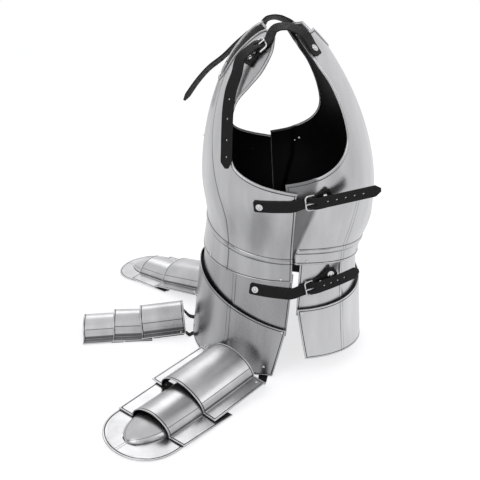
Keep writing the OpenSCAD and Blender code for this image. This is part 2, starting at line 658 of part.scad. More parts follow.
// Places beside the torso, as [angle, height from the armhole to the shoulder's top, distance out,
// rise]
function beside(places) = [for (p = places)
  torso(-1, p[0], mix(armhole_z, top_z, p[1]), p[2]) + (len(p) > 3 ? p[3] : 0) * UP];
over_shoulder = beside([[96.49, 0.9655, 10.3, 0], [90.48, 0.9996, 14.21, 0.1], [83.99, 0.9996, 10.98, 4.1],
  [77.8, 0.9996, 12.9, 3.6], [74.26, 0.9996, 16.41, 1.1]]);
shoulder_foot = seat(1, 78.5, top_z - shoulder_drop + 2, laid_off + 0.9, [-0.4, -0.5, 0.75]);
shoulder_start = [for (u = [-11, -9, 0, 8]) at(shoulder_foot, u, 0, 0)];
left_hang = concat([at(shoulder_seat, 16, -1, 10.6), at(shoulder_seat, 30, -1, 8.8)],
  beside([[53.75, 0.7328, 11.65], [52.52, 0.625, 10.42], [52.86, 0.5172, 8.81],
  [54.1, 0.3836, 7.35], [55.14, 0.25, 7.4], [55.8, 0.1681, 8.91],
  [56.18, 0.1336, 9.01]]));
right_hang = concat([at(shoulder_seat, 16, 0, 10.8), at(shoulder_seat, 30, 0, 11)],
  beside([[43.68, 0.7198, 25.28], [35.58, 0.6379, 37.92], [29.94, 0.5431, 47.05],
  [26.04, 0.4397, 55.27], [24.91, 0.3966, 59.06]]));
function shoulder_line(hang) = concat(shoulder_start, over_shoulder, threaded(shoulder_seat), hang);
function shoulder_look(hang) = concat(same(shoulder_foot[3], len(shoulder_start)),
  [[0.6, 0.3, 0.75], [0.45, 0.15, 0.88], [0.4, -0.1, 0.9], [0.42, -0.35, 0.83], shoulder_seat[3]],
  [for (i = [0:3]) shoulder_seat[3]],
  [for (i = [0:len(hang) - 1]) hang == left_hang
    ? unit(mix(shoulder_seat[3], [0.85, -0.5, 0.1], min(1, i / 3)))
    : unit(mix(shoulder_seat[3], [0.5, -0.55, 0.65], min(1, (i + 1) / 4)))]);

// Buckled strap: line of its middle, way its face looks, the buckle's frame, and the places of its
// punched holes as [row, share of the way to the next]
module strap(line, look, f, holes) {
  n = len(line);
  places = laid(line, look);
  color(LEATHER) difference() {
    ribbon(places, [for (i = [0:n - 1]) strap_width * (i == 0 ? 0.7 : i == n - 1 ? 0.3 : 1)],
           strap_thick);
    placed(f) translate([3 - buckle_length, -1.9, 0]) cube([buckle_length - 1, 3.8, 14]);
    for (h = holes) {
      here = mix(places[h[0]], places[h[0] + 1], h[1]);
      placed([here[0], unit(here[1]), cross(unit(here[2]), unit(here[1])), unit(here[2])])
        cylinder(r = 1.6, h = 12, center = true, $fn = 16);
    }
  }
}
function same(v, n) = [for (i = [1:n]) v];

module mirrored(side) {
  if (side > 0) children();
  else mirror([1, 0, 0]) children();
}

module chest_strap(line, holes) {
  strap(line, same(chest_seat[3], len(line)), chest_seat, holes);
}
module waist_strap() {
  strap(waist_line, same(waist_seat[3], len(waist_line)), waist_seat,
        [[11, 0], [11, 0.8], [12, 0.6], [13, 0.4]]);
}
module shoulder_strap(hang, holes) {
  strap(shoulder_line(hang), shoulder_look(hang), shoulder_seat, holes);
}
module left_chest_strap() {
  chest_strap(chest_line, [[11, 0], [11, 0.7], [12, 0.4], [13, 0.1], [13, 0.8]]);
}
module right_chest_strap() {
  mirror([1, 0, 0]) chest_strap(right_chest_line,
    [[11, 0.3], [12, 0], [12, 0.55], [13, 0.1], [13, 0.58], [14, 0.07], [14, 0.6]]);
}
module left_waist_strap() { waist_strap(); }
module right_waist_strap() { mirror([1, 0, 0]) waist_strap(); }
module left_shoulder_strap() {
  shoulder_strap(left_hang, [for (i = [16:19]) [i, 0.5]]);
}
module right_shoulder_strap() {
  mirror([1, 0, 0]) shoulder_strap(right_hang,
    [[14, 0.1], [14, 0.6], [15, 0.1], [15, 0.6], [16, 0.2], [16, 0.8], [17, 0.4]]);
}

module side_buckle_chapes() {
  for (side = [-1, 1]) mirrored(side) {
    placed(chest_seat) chape(chest_flap[2]);
    placed(waist_seat) chape(waist_flap[2]);
  }
}
module shoulder_buckle_chapes() {
  for (side = [-1, 1]) mirrored(side) placed(shoulder_seat) chape(shoulder_flap[2]);
}

// Places of the washers and rivets: [frame on the leather's face, depth of the shank, washer or not]
function strap_end(line, look) = let (p = laid(line, look)[2])
  [p[0] + p[2] * (strap_thick / 2 + gap / 2), unit(p[1]), cross(p[2], unit(p[1])), p[2]];
function on_flap(f, long) = [flap_at(f, long), f[1], f[2], f[3]];
flap_depth = gap + 2 * chape_thick + steel + side_step;
FASTENINGS = [
  [strap_end(chest_line, same(chest_seat[3], len(chest_line))), strap_thick + steel + 1, true],
  [strap_end(waist_line, same(waist_seat[3], len(waist_line))), strap_thick + steel + 1, true],
  [strap_end(shoulder_line(left_hang), shoulder_look(left_hang)), strap_thick + steel + 1, true],
  [on_flap(chest_seat, chest_flap[0]), flap_depth, false],
  [on_flap(chest_seat, chest_flap[1]), flap_depth, true],
  [on_flap(waist_seat, waist_flap[0]), flap_depth, false],
  [on_flap(waist_seat, waist_flap[1]), flap_depth, true],
  [on_flap(shoulder_seat, shoulder_flap[0]), flap_depth - side_step, false],
  [on_flap(shoulder_seat, shoulder_flap[1]), flap_depth - side_step, true]];
washer_thick = 1;

module strap_rivets() {
  for (side = [-1, 1]) mirrored(side) for (f = FASTENINGS)
    placed(f[0]) translate([0, 0, f[2] ? washer_thick : 0])
      rivet(f[2] ? rivet_r : small_rivet_r, f[1] + (f[2] ? washer_thick : 0));
}

module strap_washers() {
  color(BRIGHT) for (side = [-1, 1]) mirrored(side) for (f = FASTENINGS)
    if (f[2]) placed(f[0]) rotate_extrude($fn = 36)
      translate([rivet_r * 0.5 + 0.05, 0]) square([washer_r - rivet_r * 0.5 - 0.05, washer_thick]);
}

// The same frame on the other side of the body
function flipped(v) = [-v[0], v[1], v[2]];
function other_side(f) = let (along = flipped(f[1]), out = flipped(f[3]))
  [flipped(f[0]), along, cross(out, along), out];

module left_chest_buckle() { placed(chest_seat) buckle_frame(); }
module right_chest_buckle() { placed(other_side(chest_seat)) buckle_frame(); }
module left_waist_buckle() { placed(waist_seat) buckle_frame(); }
module right_waist_buckle() { placed(other_side(waist_seat)) buckle_frame(); }
module left_shoulder_buckle() { placed(shoulder_seat) buckle_frame(); }
module right_shoulder_buckle() { placed(other_side(shoulder_seat)) buckle_frame(); }
module left_chest_buckle_tongue() { placed(chest_seat) tongue(); }
module right_chest_buckle_tongue() { placed(other_side(chest_seat)) tongue(); }
module left_waist_buckle_tongue() { placed(waist_seat) tongue(); }
module right_waist_buckle_tongue() { placed(other_side(waist_seat)) tongue(); }
module left_shoulder_buckle_tongue() { placed(shoulder_seat) tongue(); }
module right_shoulder_buckle_tongue() { placed(other_side(shoulder_seat)) tongue(); }

module left_tasset_upper_lame() { lame(left_tasset, 0); }
module left_tasset_middle_lame() { lame(left_tasset, 1); }
module left_tasset_lower_lame() { spoon_lame(left_tasset); }
module left_tasset_upper_leathers() { lame_leathers(left_tasset, 0); }
module left_tasset_middle_leathers() { lame_leathers(left_tasset, 1); }
module left_tasset_lower_leathers() { lame_leathers(left_tasset, 2); }
module left_tasset_upper_rivets() { lame_rivets(left_tasset, 0); }
module left_tasset_middle_rivets() { lame_rivets(left_tasset, 1); }
module left_tasset_lower_rivets() { lame_rivets(left_tasset, 2); }
module right_tasset_upper_lame() { lame(right_tasset, 0); }
module right_tasset_middle_lame() { lame(right_tasset, 1); }
module right_tasset_lower_lame() { spoon_lame(right_tasset); }
module right_tasset_upper_leathers() { lame_leathers(right_tasset, 0); }
module right_tasset_middle_leathers() { lame_leathers(right_tasset, 1); }
module right_tasset_lower_leathers() { lame_leathers(right_tasset, 2); }
module right_tasset_upper_rivets() { lame_rivets(right_tasset, 0); }
module right_tasset_middle_rivets() { lame_rivets(right_tasset, 1); }
module right_tasset_lower_rivets() { lame_rivets(right_tasset, 2); }
module middle_tasset_upper_lame() { lame(middle_tasset, 0); }
module middle_tasset_middle_lame() { lame(middle_tasset, 1); }
module middle_tasset_lower_lame() { lame(middle_tasset, 2); }
module middle_tasset_upper_leathers() { lame_leathers(middle_tasset, 0); }
module middle_tasset_middle_leathers() { lame_leathers(middle_tasset, 1); }
module middle_tasset_lower_leathers() { lame_leathers(middle_tasset, 2); }
module middle_tasset_upper_rivets() { lame_rivets(middle_tasset, 0); }
module middle_tasset_middle_rivets() { lame_rivets(middle_tasset, 1); }
module middle_tasset_lower_rivets() { lame_rivets(middle_tasset, 2); }

breastplate();
front_waist_plate();
fauld_lame();
backplate();
back_waist_plate();
culet_lame();
plate_rivets();
fauld_rivets();
culet_rivets();
hanger_leathers();
left_tasset_upper_lame();
left_tasset_middle_lame();
left_tasset_lower_lame();
left_tasset_upper_leathers();
left_tasset_middle_leathers();
left_tasset_lower_leathers();
left_tasset_upper_rivets();
left_tasset_middle_rivets();
left_tasset_lower_rivets();
right_tasset_upper_lame();
right_tasset_middle_lame();
right_tasset_lower_lame();
right_tasset_upper_leathers();
right_tasset_middle_leathers();
right_tasset_lower_leathers();
right_tasset_upper_rivets();
right_tasset_middle_rivets();
right_tasset_lower_rivets();
middle_tasset_upper_lame();
middle_tasset_middle_lame();
middle_tasset_lower_lame();
middle_tasset_upper_leathers();
middle_tasset_middle_leathers();
middle_tasset_lower_leathers();
middle_tasset_upper_rivets();
middle_tasset_middle_rivets();
middle_tasset_lower_rivets();
left_chest_strap();
right_chest_strap();
left_waist_strap();
right_waist_strap();
left_shoulder_strap();
right_shoulder_strap();
side_buckle_chapes();
shoulder_buckle_chapes();
left_chest_buckle();
right_chest_buckle();
left_waist_buckle();
right_waist_buckle();
left_shoulder_buckle();
right_shoulder_buckle();
left_chest_buckle_tongue();
right_chest_buckle_tongue();
left_waist_buckle_tongue();
right_waist_buckle_tongue();
left_shoulder_buckle_tongue();
right_shoulder_buckle_tongue();
strap_rivets();
strap_washers();
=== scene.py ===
import math

import bpy
import numpy as np
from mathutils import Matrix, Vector


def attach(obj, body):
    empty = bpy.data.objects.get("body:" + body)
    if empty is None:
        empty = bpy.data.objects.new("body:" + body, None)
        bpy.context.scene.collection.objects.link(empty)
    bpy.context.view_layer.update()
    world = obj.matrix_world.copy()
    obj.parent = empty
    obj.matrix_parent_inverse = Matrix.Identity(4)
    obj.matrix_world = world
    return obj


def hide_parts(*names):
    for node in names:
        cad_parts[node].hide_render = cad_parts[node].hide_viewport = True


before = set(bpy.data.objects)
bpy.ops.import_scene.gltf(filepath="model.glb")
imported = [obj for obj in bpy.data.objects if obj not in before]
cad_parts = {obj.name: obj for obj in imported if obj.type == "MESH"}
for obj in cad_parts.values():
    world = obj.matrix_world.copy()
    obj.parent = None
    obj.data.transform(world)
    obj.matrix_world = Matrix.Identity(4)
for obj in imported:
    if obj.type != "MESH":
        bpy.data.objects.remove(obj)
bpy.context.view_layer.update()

# The camera looks at the wearer's left side from above, at the height of the shoulders and about
# 1.1 m away, with a slightly long lens. All lengths are in millimetres and become metres in a mesh.
MM = 0.001
CAMERA_PLACE = (1097.454, -100.833, 641.643)
CAMERA_YAW, CAMERA_DOWN = -0.018, 0.396
camera = bpy.data.objects.new("camera", bpy.data.cameras.new("camera"))
bpy.context.scene.collection.objects.link(camera)
bpy.context.scene.camera = camera
camera.data.sensor_width = 36
camera.data.lens = 47.466
camera.data.clip_end = 50
bpy.context.scene.view_settings.view_transform = "Standard"
camera.location = Vector(CAMERA_PLACE) * MM
camera.rotation_mode = "QUATERNION"
camera.rotation_quaternion = Vector((
    -math.cos(CAMERA_DOWN) * math.cos(CAMERA_YAW),
    -math.cos(CAMERA_DOWN) * math.sin(CAMERA_YAW),
    -math.sin(CAMERA_DOWN))).to_track_quat("-Z", "Y")


# The studio is a white floor under a white surround, with soft boxes and black cards round it.
# Camera, mirror and glass rays see the surround as plain white, and for them the floor glows by a
# share of white, so that it still shows the shadow.
class Wire:
    """A value in a material: one output socket, on which Python's signs add Math nodes."""

    def __init__(self, tree, socket=None):
        self.tree, self.socket = tree, socket

    def node(self, kind, settings=None, inputs=None, out=0):
        """Adds a node, makes its settings, then gives its sockets their values or links."""
        made = self.tree.nodes.new("ShaderNode" + kind)
        for name, value in (settings or {}).items():
            setattr(made, name, value)
        for name, value in (inputs or {}).items():
            if isinstance(value, Wire):
                self.tree.links.new(value.socket, made.inputs[name])
            else:
                made.inputs[name].default_value = value
        return Wire(self.tree, made.outputs[out] if len(made.outputs) else None)

    def sum(self, operation, *values):
        return self.node("Math", {"operation": operation}, dict(enumerate(values)))

    def __add__(self, other): return self.sum("ADD", self, other)
    def __radd__(self, other): return self.sum("ADD", other, self)
    def __sub__(self, other): return self.sum("SUBTRACT", self, other)
    def __rsub__(self, other): return self.sum("SUBTRACT", other, self)
    def __mul__(self, other): return self.sum("MULTIPLY", self, other)
    def __rmul__(self, other): return self.sum("MULTIPLY", other, self)
    def __abs__(self): return self.sum("ABSOLUTE", self)

    def most(self, other): return self.sum("MAXIMUM", self, other)

    def step(self, low, high):
        """Smooth step from 0 below low to 1 above high, or from 1 to 0 where high is the lower."""
        if low > high:
            return 1 - self.step(high, low)
        return self.node("MapRange", {"interpolation_type": "SMOOTHSTEP"},
                         {0: self, 1: low, 2: high, 3: 0.0, 4: 1.0})

    def mix(self, dark, light):
        """Colour between two others, by this value from 0 to 1."""
        return self.node("Mix", {"data_type": "RGBA"}, {0: self, 6: dark, 7: light}, out=2)


def grey(level, alpha=1.0):
    return (level, level, level * 1.012, alpha)


def plain_rays(wire):
    """1 for camera, mirror and glass rays, and 0 for the rays that only carry light."""
    rays = wire.node("LightPath")
    seen = rays
    for kind in ("Is Glossy Ray", "Is Transmission Ray"):
        seen = seen.most(Wire(wire.tree, rays.socket.node.outputs[kind]))
    return seen


def finish(name, look):
    """Material from a function that takes its first Wire and gives the surface shader."""
    made = bpy.data.materials.new(name)
    made.use_nodes = True
    made.node_tree.nodes.clear()
    wire = Wire(made.node_tree)
    wire.node("OutputMaterial", None, {0: look(wire)})
    return made


def staged(name, corners, look, mirrors_only=False):
    """A flat face of the studio through four corners in metres, seen by all or by mirrors alone."""
    mesh = bpy.data.meshes.new(name)
    mesh.from_pydata(corners, [], [(0, 1, 2, 3)])
    mesh.materials.append(look)
    face = bpy.data.objects.new(name, mesh)
    bpy.context.scene.collection.objects.link(face)
    if mirrors_only:
        face.visible_camera = face.visible_diffuse = face.visible_shadow = False
        face.visible_transmission = face.visible_volume_scatter = False


SURROUND_LIGHT = 0.55
world = bpy.data.worlds.new("surround")
bpy.context.scene.world = world
world.use_nodes = True
world.node_tree.nodes.clear()
sky = Wire(world.node_tree)
sky.node("OutputWorld", None, {0: sky.node("Background", None, {
    0: grey(1.0), 1: SURROUND_LIGHT + (1 - SURROUND_LIGHT) * plain_rays(sky)})})

FLOOR_HALF, FLOOR_SHADE, FLOOR_GLOW = 6.0, 0.5, 0.72


def white_floor(wire):
    return wire.node("AddShader", None, {
        0: wire.node("BsdfDiffuse", None, {0: grey(FLOOR_SHADE)}),
        1: wire.node("Emission", None, {0: grey(1.0), 1: plain_rays(wire) * FLOOR_GLOW})})


staged("floor", [(x * FLOOR_HALF, y * FLOOR_HALF, 0)
                 for x, y in ((-1, -1), (1, -1), (1, 1), (-1, 1))],
       finish("white floor", white_floor))


def soft_box(name, place, aim, width, height, power):
    """Rectangular soft light at a place, turned to look at its aim."""
    data = bpy.data.lights.new(name, "AREA")
    data.shape, data.size, data.size_y, data.energy = "RECTANGLE", width, height, power
    lamp = bpy.data.objects.new(name, data)
    bpy.context.scene.collection.objects.link(lamp)
    lamp.location = place
    lamp.rotation_mode = "QUATERNION"
    lamp.rotation_quaternion = (Vector(aim) - Vector(place)).to_track_quat("-Z", "Y")


soft_box("front soft box", (1.6, -1.6, 1.9), (0, 0, 0.25), 1.3, 1.3, 10)
soft_box("rear soft box", (1.2, 1.8, 1.7), (0, 0, 0.3), 0.9, 1.4, 7)
soft_box("far soft box", (-2.0, -0.4, 1.8), (0, 0, 0.3), 1.2, 1.2, 7)


BLACK_CARD = finish("black card", lambda wire: wire.node(
    "Emission", None, {0: grey(0.05), 1: 1.0}))


def dark_flag(name, corner, along, up):
    """Black card beside the object, which only mirror rays see, as studio steel needs it."""
    a, b, c = Vector(corner), Vector(along), Vector(up)
    staged(name, [a, a + b, a + b + c, a + c], BLACK_CARD, mirrors_only=True)


dark_flag("front flag", (1.5, -2.6, 0.0), (-0.9, 0.5, 0.0), (0, 0, 2.2))
dark_flag("side flag", (2.2, 0.2, 0.0), (0.0, 0.5, 0.0), (0, 0, 1.5))
dark_flag("rear flag", (1.9, 1.5, 0.0), (-0.3, 0.7, 0.0), (0, 0, 1.8))


# The steel is satin polished sheet: fine polishing grain, a softly uneven face that bends the
# reflections, and black paint on its inside. Painted shade darkens the colour in lines where the
# turned edge meets the sheet, beside beads and bands, along the breast's fold, and on the back
# plate's set-in step.
def noise(wire, scale, stretch=(1, 1, 1), detail=2.0, seed=0.0):
    """Noise from 0 to 1 on Object coordinates, scale to the metre, stretched by an axis' share."""
    place = wire.node("TexCoord", None, None, out=3)
    place = wire.node("Mapping", None, {0: place, 1: (seed, seed, seed), 3: stretch})
    return wire.node("TexNoise", None, {"Vector": place, "Scale": scale, "Detail": detail})


def shade_line_mask(wire, name, place, half):
    """1 on a line of painted shade, where the attribute has that value, fading to 0 at half its
    width.
    """
    value = wire.node("Attribute", {"attribute_name": name}, None, out=2)
    return abs(value - place).step(half, half * 0.35)


GROOVE_AT = 3.5
# Lines of painted shade on a plate, in grooves, beside beads and bands and along the fold: the
# attribute, its value there, half the line's width, and its darkness.
SHADE_LINES = (("border", GROOVE_AT, 1.0, 1.0), ("bead", 4.9, 0.9, 0.8), ("bead", -4.9, 0.9, 0.8),
         ("band", 2.6, 0.55, 0.7), ("band", -2.6, 0.55, 0.7), ("crease", 0.0, 1.6, 0.55))


def plate_steel(dark_tone, light_tone):
    """Steel between two tones, with the black paint on the inside of the sheet."""
    def look(wire):
        grain = noise(wire, 700, (1, 1, 0.1), 1.0)
        cloud = noise(wire, 7, (1, 1, 0.45), 2.0, 4.0)
        streak = noise(wire, 34, (1, 1, 0.14), 2.0, 6.0)
        wave = noise(wire, 13, (1, 1, 0.35), 1.0, 9.0)
        # Painted shade: the colour is darkened on the back plate's set-in step, where the breast
        # plate's edge shades it.
        dark = wire.node("Attribute", {"attribute_name": "recess_shade"}, None, out=2)
        # Painted shade: each line takes the colour towards near black and dulls the metal.
        for name, place, half, depth in SHADE_LINES:
            dark = dark.most(shade_line_mask(wire, name, place, half) * depth)
        polish = (cloud - 0.5) * 1.2 + (streak - 0.5) * 0.8 + (grain - 0.5) * 0.16 + 0.5
        bump = wire.node("Bump", None, {"Strength": 0.3, "Distance": 0.0016, "Height": wave})
        steel = wire.node("BsdfPrincipled", None, {
            "Base Color": dark.mix(polish.mix(grey(dark_tone), grey(light_tone)), grey(0.03)),
            "Metallic": 1 - dark * 0.6,
            "Roughness": 0.30 + (cloud - 0.5) * 0.12 + (grain - 0.5) * 0.06 + dark * 0.3,
            "Normal": bump})
        painted = wire.node("Attribute", {"attribute_name": "paint"}, None, out=2).step(-0.2, 0.4)
        return wire.node("MixShader", None, {0: painted, 1: steel, 2: black_paint(wire)})
    return look


def black_paint(wire):
    """Dull black paint, a little mottled and rough as it dried on the hammered inside."""
    mottle = noise(wire, 60, (1, 1, 1), 3.0)
    bump = wire.node("Bump", None, {"Strength": 0.25, "Distance": 0.0006,
                                    "Height": noise(wire, 700, (1, 1, 1), 2.0)})
    return wire.node("BsdfPrincipled", None, {
        "Base Color": mottle.mix(grey(0.002), grey(0.007)),
        "Roughness": 0.42 + mottle * 0.15, "Normal": bump, "Specular IOR Level": 0.12})


def bright_steel(wire):
    """Polished wire and rivet heads, a little duller where the noise is high."""
    rub = noise(wire, 240, (1, 1, 1), 2.0, 3.0)
    return wire.node("BsdfPrincipled", None, {
        "Base Color": rub.mix(grey(0.5), grey(0.66)), "Metallic": 1.0,
        "Roughness": 0.16 + rub * 0.14})


# One steel in five tones: the breast, waist, fauld and tasset copies are set darker than the plate
# steel for how light falls on those parts, as painted shade.
PLATE_STEEL = finish("satin plate steel", plate_steel(0.38, 0.66))
BREAST_STEEL_SHADED = finish("breast steel with painted shade", plate_steel(0.28, 0.56))
WAIST_STEEL_SHADED = finish("waist steel with painted shade", plate_steel(0.24, 0.44))
FAULD_STEEL_SHADED = finish("fauld steel with painted shade", plate_steel(0.23, 0.48))
TASSET_STEEL_SHADED = finish("tasset steel with painted shade", plate_steel(0.34, 0.60))
BRIGHT_STEEL = finish("bright fastener steel", bright_steel)
for name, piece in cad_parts.items():
    if any(word in name for word in ("rivets", "washers", "buckle")) and "chapes" not in name:
        for slot in piece.material_slots:
            slot.material = BRIGHT_STEEL


# The breast plate is one sheet of steel raised over the chest. Its neck and armholes are rolled
# outwards over a wire, a bead runs round the waist, and below it the sheet flares to a short skirt.
STEEL_THICK = 1.5
SECTION_POWER = 2.3
# Half widths, depths in front and behind, and the heights where one curve takes over from another.
CHEST_WIDE, WAIST_WIDE, HIP_WIDE, SHOULDER_WIDE = 188, 150, 178, 104
BREAST_DEEP, FRONT_WAIST_DEEP, FRONT_HIP_DEEP, FRONT_SHOULDER_DEEP = 148, 140, 168, 52
BACK_DEEP, BACK_WAIST_DEEP, BACK_HIP_DEEP, BACK_SHOULDER_DEEP = 154, 132, 146, 36
SIDE_WAIST_Z, FRONT_WAIST_Z, BACK_WAIST_Z, BREAST_Z, CHEST_Z = 205, 241, 180, 320, 340
BLADE_Z, BACK_TURN_Z, TOP_Z, FRONT_NECK_Z, BACK_NECK_Z, ARMHOLE_Z = 262, 285, 568, 483, 536, 336


def ease(t):
    """Smooth step from 0 to 1."""
    t = np.clip(t, 0, 1)
    return t * t * (3 - 2 * t)


def mix(a, b, t):
    return a + (b - a) * t


def half_width(z):
    """Half width of the torso at height z, from hip over waist and chest to the shoulder."""
    u = np.clip((z - CHEST_Z) / (TOP_Z - CHEST_Z), 0, 1)
    high = SHOULDER_WIDE + (CHEST_WIDE - SHOULDER_WIDE) * np.maximum(1 - u ** 3, 0) ** 0.85
    middle = mix(WAIST_WIDE, CHEST_WIDE, ease((z - SIDE_WAIST_Z) / (CHEST_Z - SIDE_WAIST_Z)))
    low = mix(WAIST_WIDE, HIP_WIDE, np.clip((SIDE_WAIST_Z - z) / SIDE_WAIST_Z, 0, 9) ** 1.5)
    return np.where(z > CHEST_Z, high, np.where(z > SIDE_WAIST_Z, middle, low))


def front_depth(z):
    """Depth of the front at height z, made the same way."""
    u = np.clip((z - BREAST_Z) / (TOP_Z - BREAST_Z), 0, 1)
    high = FRONT_SHOULDER_DEEP + (BREAST_DEEP - FRONT_SHOULDER_DEEP) * (1 - u * u) ** 0.75
    middle = mix(FRONT_WAIST_DEEP, BREAST_DEEP,
                 ease((z - FRONT_WAIST_Z) / (BREAST_Z - FRONT_WAIST_Z)))
    low = mix(FRONT_WAIST_DEEP, FRONT_HIP_DEEP,
              np.clip((FRONT_WAIST_Z - z) / FRONT_WAIST_Z, 0, 9) ** 1.1)
    return np.where(z > BREAST_Z, high, np.where(z > FRONT_WAIST_Z, middle, low))


def back_depth(z):
    """Depth of the back at height z, made the same way."""
    u = np.clip((z - BACK_TURN_Z) / (TOP_Z - BACK_TURN_Z), 0, 1)
    high = BACK_SHOULDER_DEEP + (BACK_DEEP - BACK_SHOULDER_DEEP) * (1 - u * u)
    middle = mix(BACK_WAIST_DEEP, BACK_DEEP, ease((z - BACK_WAIST_Z) / (BLADE_Z - BACK_WAIST_Z)))
    low = mix(BACK_WAIST_DEEP, BACK_HIP_DEEP,
              np.clip((BACK_WAIST_Z - z) / BACK_WAIST_Z, 0, 9) ** 1.2)
    return np.where(z > BACK_TURN_Z, high, np.where(z > BACK_WAIST_Z, middle, low))


def torso(facing, c, z, off):
    """Point of the torso: a flattened ellipse at height z, at angle c from the middle line of the
    front (facing -1) or back (facing 1), off further out. Arrays give arrays of points."""
    c, z, off = np.broadcast_arrays(np.asarray(c, float), np.asarray(z, float), off)
    ahead, side = facing * np.cos(np.radians(c)), np.sin(np.radians(c))
    depth = np.where(ahead > 0, back_depth(z), front_depth(z))
    r = ((np.abs(side) / half_width(z)) ** SECTION_POWER
         + (np.abs(ahead) / depth) ** SECTION_POWER) ** (-1 / SECTION_POWER) + off
    return np.stack([r * side, r * ahead, z], -1)


def curve(knots, t):
    """Smooth curve through the knots, t from 0 to 1: cubic between neighbours, with each knot's
    slope along the line from the knot before it to the knot after it."""
    k = np.asarray(knots, float)
    n = len(k) - 1
    i = np.clip(np.floor(t * n).astype(int), 0, n - 1)
    f = (t * n - i)[..., None]
    p0, p1, p2, p3 = k[np.maximum(i - 1, 0)], k[i], k[i + 1], k[np.minimum(i + 2, n)]
    return 0.5 * (2 * p1 + (p2 - p0) * f + (2 * p0 - 5 * p1 + 4 * p2 - p3) * f * f
                  + (3 * p1 - p0 - 3 * p2 + p3) * f ** 3)


def outwards(grid):
    """Unit normals of a grid: the step along a row crossed with the step along a column."""
    across, along = np.gradient(grid, axis=1), np.gradient(grid, axis=0)
    n = np.cross(across, along)
    return n / np.maximum(np.linalg.norm(n, axis=-1, keepdims=True), 1e-9)


def edge_distance(points, line):
    """Distance of each point from a line of short straight pieces, least over the pieces: the
    point's foot on each piece is clipped to the piece's ends."""
    flat = points.reshape(-1, 3)
    a, d = line[:-1], np.diff(line, axis=0)
    length = np.maximum((d * d).sum(-1), 1e-9)
    best = np.empty(len(flat))
    for start in range(0, len(flat), 1500):
        w = flat[start:start + 1500, None, :] - a
        foot = np.clip((w * d).sum(-1) / length, 0, 1)
        best[start:start + 1500] = np.sqrt(((w - foot[..., None] * d) ** 2).sum(-1).min(1))
    return best.reshape(points.shape[:-1])


def closed(*grids):
    """Sets the border of each grid of heights to 0, so that both faces of a sheet meet there."""
    for grid in grids:
        grid[0] = grid[-1] = grid[:, 0] = grid[:, -1] = 0


def all_round(grid):
    """The border of a grid of points as one line, from its top left corner round to it."""
    return np.concatenate([grid[::-1, 0], grid[0, 1:], grid[1:, -1], grid[-1, -2::-1]])


# Marks where a piece has none: distances far from any line, and no painted shade on a step.
NO_MARK = {"border": 99.0, "bead": 99.0, "band": 99.0, "crease": 99.0, "recess_shade": 0.0}
NO_PAINT = -9.0


def shell(name, outer, inner, body, replaced, material, marks,
          paint=None, holes=()):
    """Closed sheet between two grids that share their border points. Paint is the distance inside
    the painted part of the inner grid, as a vertex value. Holes are blocks of the grid, [first row,
    last row, first column, last column], left open and walled through the sheet."""
    rows, cols = outer.shape[:2]
    top = np.arange(rows * cols).reshape(rows, cols)
    low = top.copy()
    low[1:-1, 1:-1] = rows * cols + np.arange((rows - 2) * (cols - 2)).reshape(rows - 2, cols - 2)
    points = np.concatenate([outer.reshape(-1, 3), inner[1:-1, 1:-1].reshape(-1, 3)])

    def quads(k):
        return np.stack([k[:-1, :-1], k[:-1, 1:], k[1:, 1:], k[1:, :-1]], -1)

    left_open = np.zeros((rows - 1, cols - 1), bool)
    walls = []
    for r0, r1, c0, c1 in holes:
        left_open[r0:r1, c0:c1] = True
        ring = np.concatenate([
            np.stack([np.full(c1 - c0, r0), np.arange(c0, c1)], 1),
            np.stack([np.arange(r0, r1), np.full(r1 - r0, c1)], 1),
            np.stack([np.full(c1 - c0, r1), np.arange(c1, c0, -1)], 1),
            np.stack([np.arange(r1, r0, -1), np.full(r1 - r0, c0)], 1)])
        t, l = top[ring[:, 0], ring[:, 1]], low[ring[:, 0], ring[:, 1]]
        walls.append(np.stack([t, l, np.roll(l, -1), np.roll(t, -1)], 1)[:, ::-1])
    faces = np.concatenate([quads(top)[~left_open], quads(low)[~left_open][:, ::-1]] + walls)
    used = np.unique(faces)
    renumber = np.zeros(len(points), int)
    renumber[used] = np.arange(len(used))
    mesh = bpy.data.meshes.new(name)
    mesh.from_pydata((points[used] * MM).tolist(), [], renumber[faces].tolist())
    mesh.materials.append(material)
    mesh.polygons.foreach_set("use_smooth", np.ones(len(faces), bool))
    painted = np.full(len(points), NO_PAINT)
    if paint is not None:
        painted[rows * cols:] = paint[1:-1, 1:-1].ravel()
    layers = {"paint": painted}
    for mark, without in NO_MARK.items():
        value = marks.get(mark)
        value = np.full((rows, cols), without) if value is None else value
        layers[mark] = np.concatenate([value.ravel(), value[1:-1, 1:-1].ravel()])
    for mark, value in layers.items():
        mesh.attributes.new(mark, "FLOAT", "POINT").data.foreach_set(
            "value", value[used].astype(np.float32))
    piece = bpy.data.objects.new(name, mesh)
    bpy.context.scene.collection.objects.link(piece)
    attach(piece, body)
    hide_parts(replaced)
    return piece


def rounded(distance, radius):
    """Half round from 0 at the border to 1 at the radius, as the section of a rounded edge."""
    return np.sqrt(np.clip(1 - (1 - np.clip(distance / radius, 0, 1)) ** 2, 0, 1))


def turned_edge(distance):
    """Height of the turned edge and its line over the sheet: half round 2.6 wide, then a groove."""
    roll = 0.4 * np.sqrt(np.clip(1 - ((distance - 1.3) / 1.3) ** 2, 0, 1))
    return roll - 0.35 * np.exp(-((distance - GROOVE_AT) / 0.5) ** 2)


FINE_EDGE = np.array([0, 0.35, 0.7, 1.1, 1.5, 1.9, 2.3, 2.65, 3, 3.3, 3.6, 4, 4.6, 5.4, 6.6, 8])
RIM_ZONE, CORNER_SPREAD = 7.0, 9.0
ROLL_EDGE = np.array([6.4, 5.8, 5.3, 4.9, 4.5, 4.1, 3.7, 3.2, 2.7, 2.2, 1.7, 1.2, 0.8, 0.4, 0])
RIM_R, RIM_SHIFT, BEAD_HIGH, BEAD_HALF = 2.2, 0.6, 2.0, 4.6


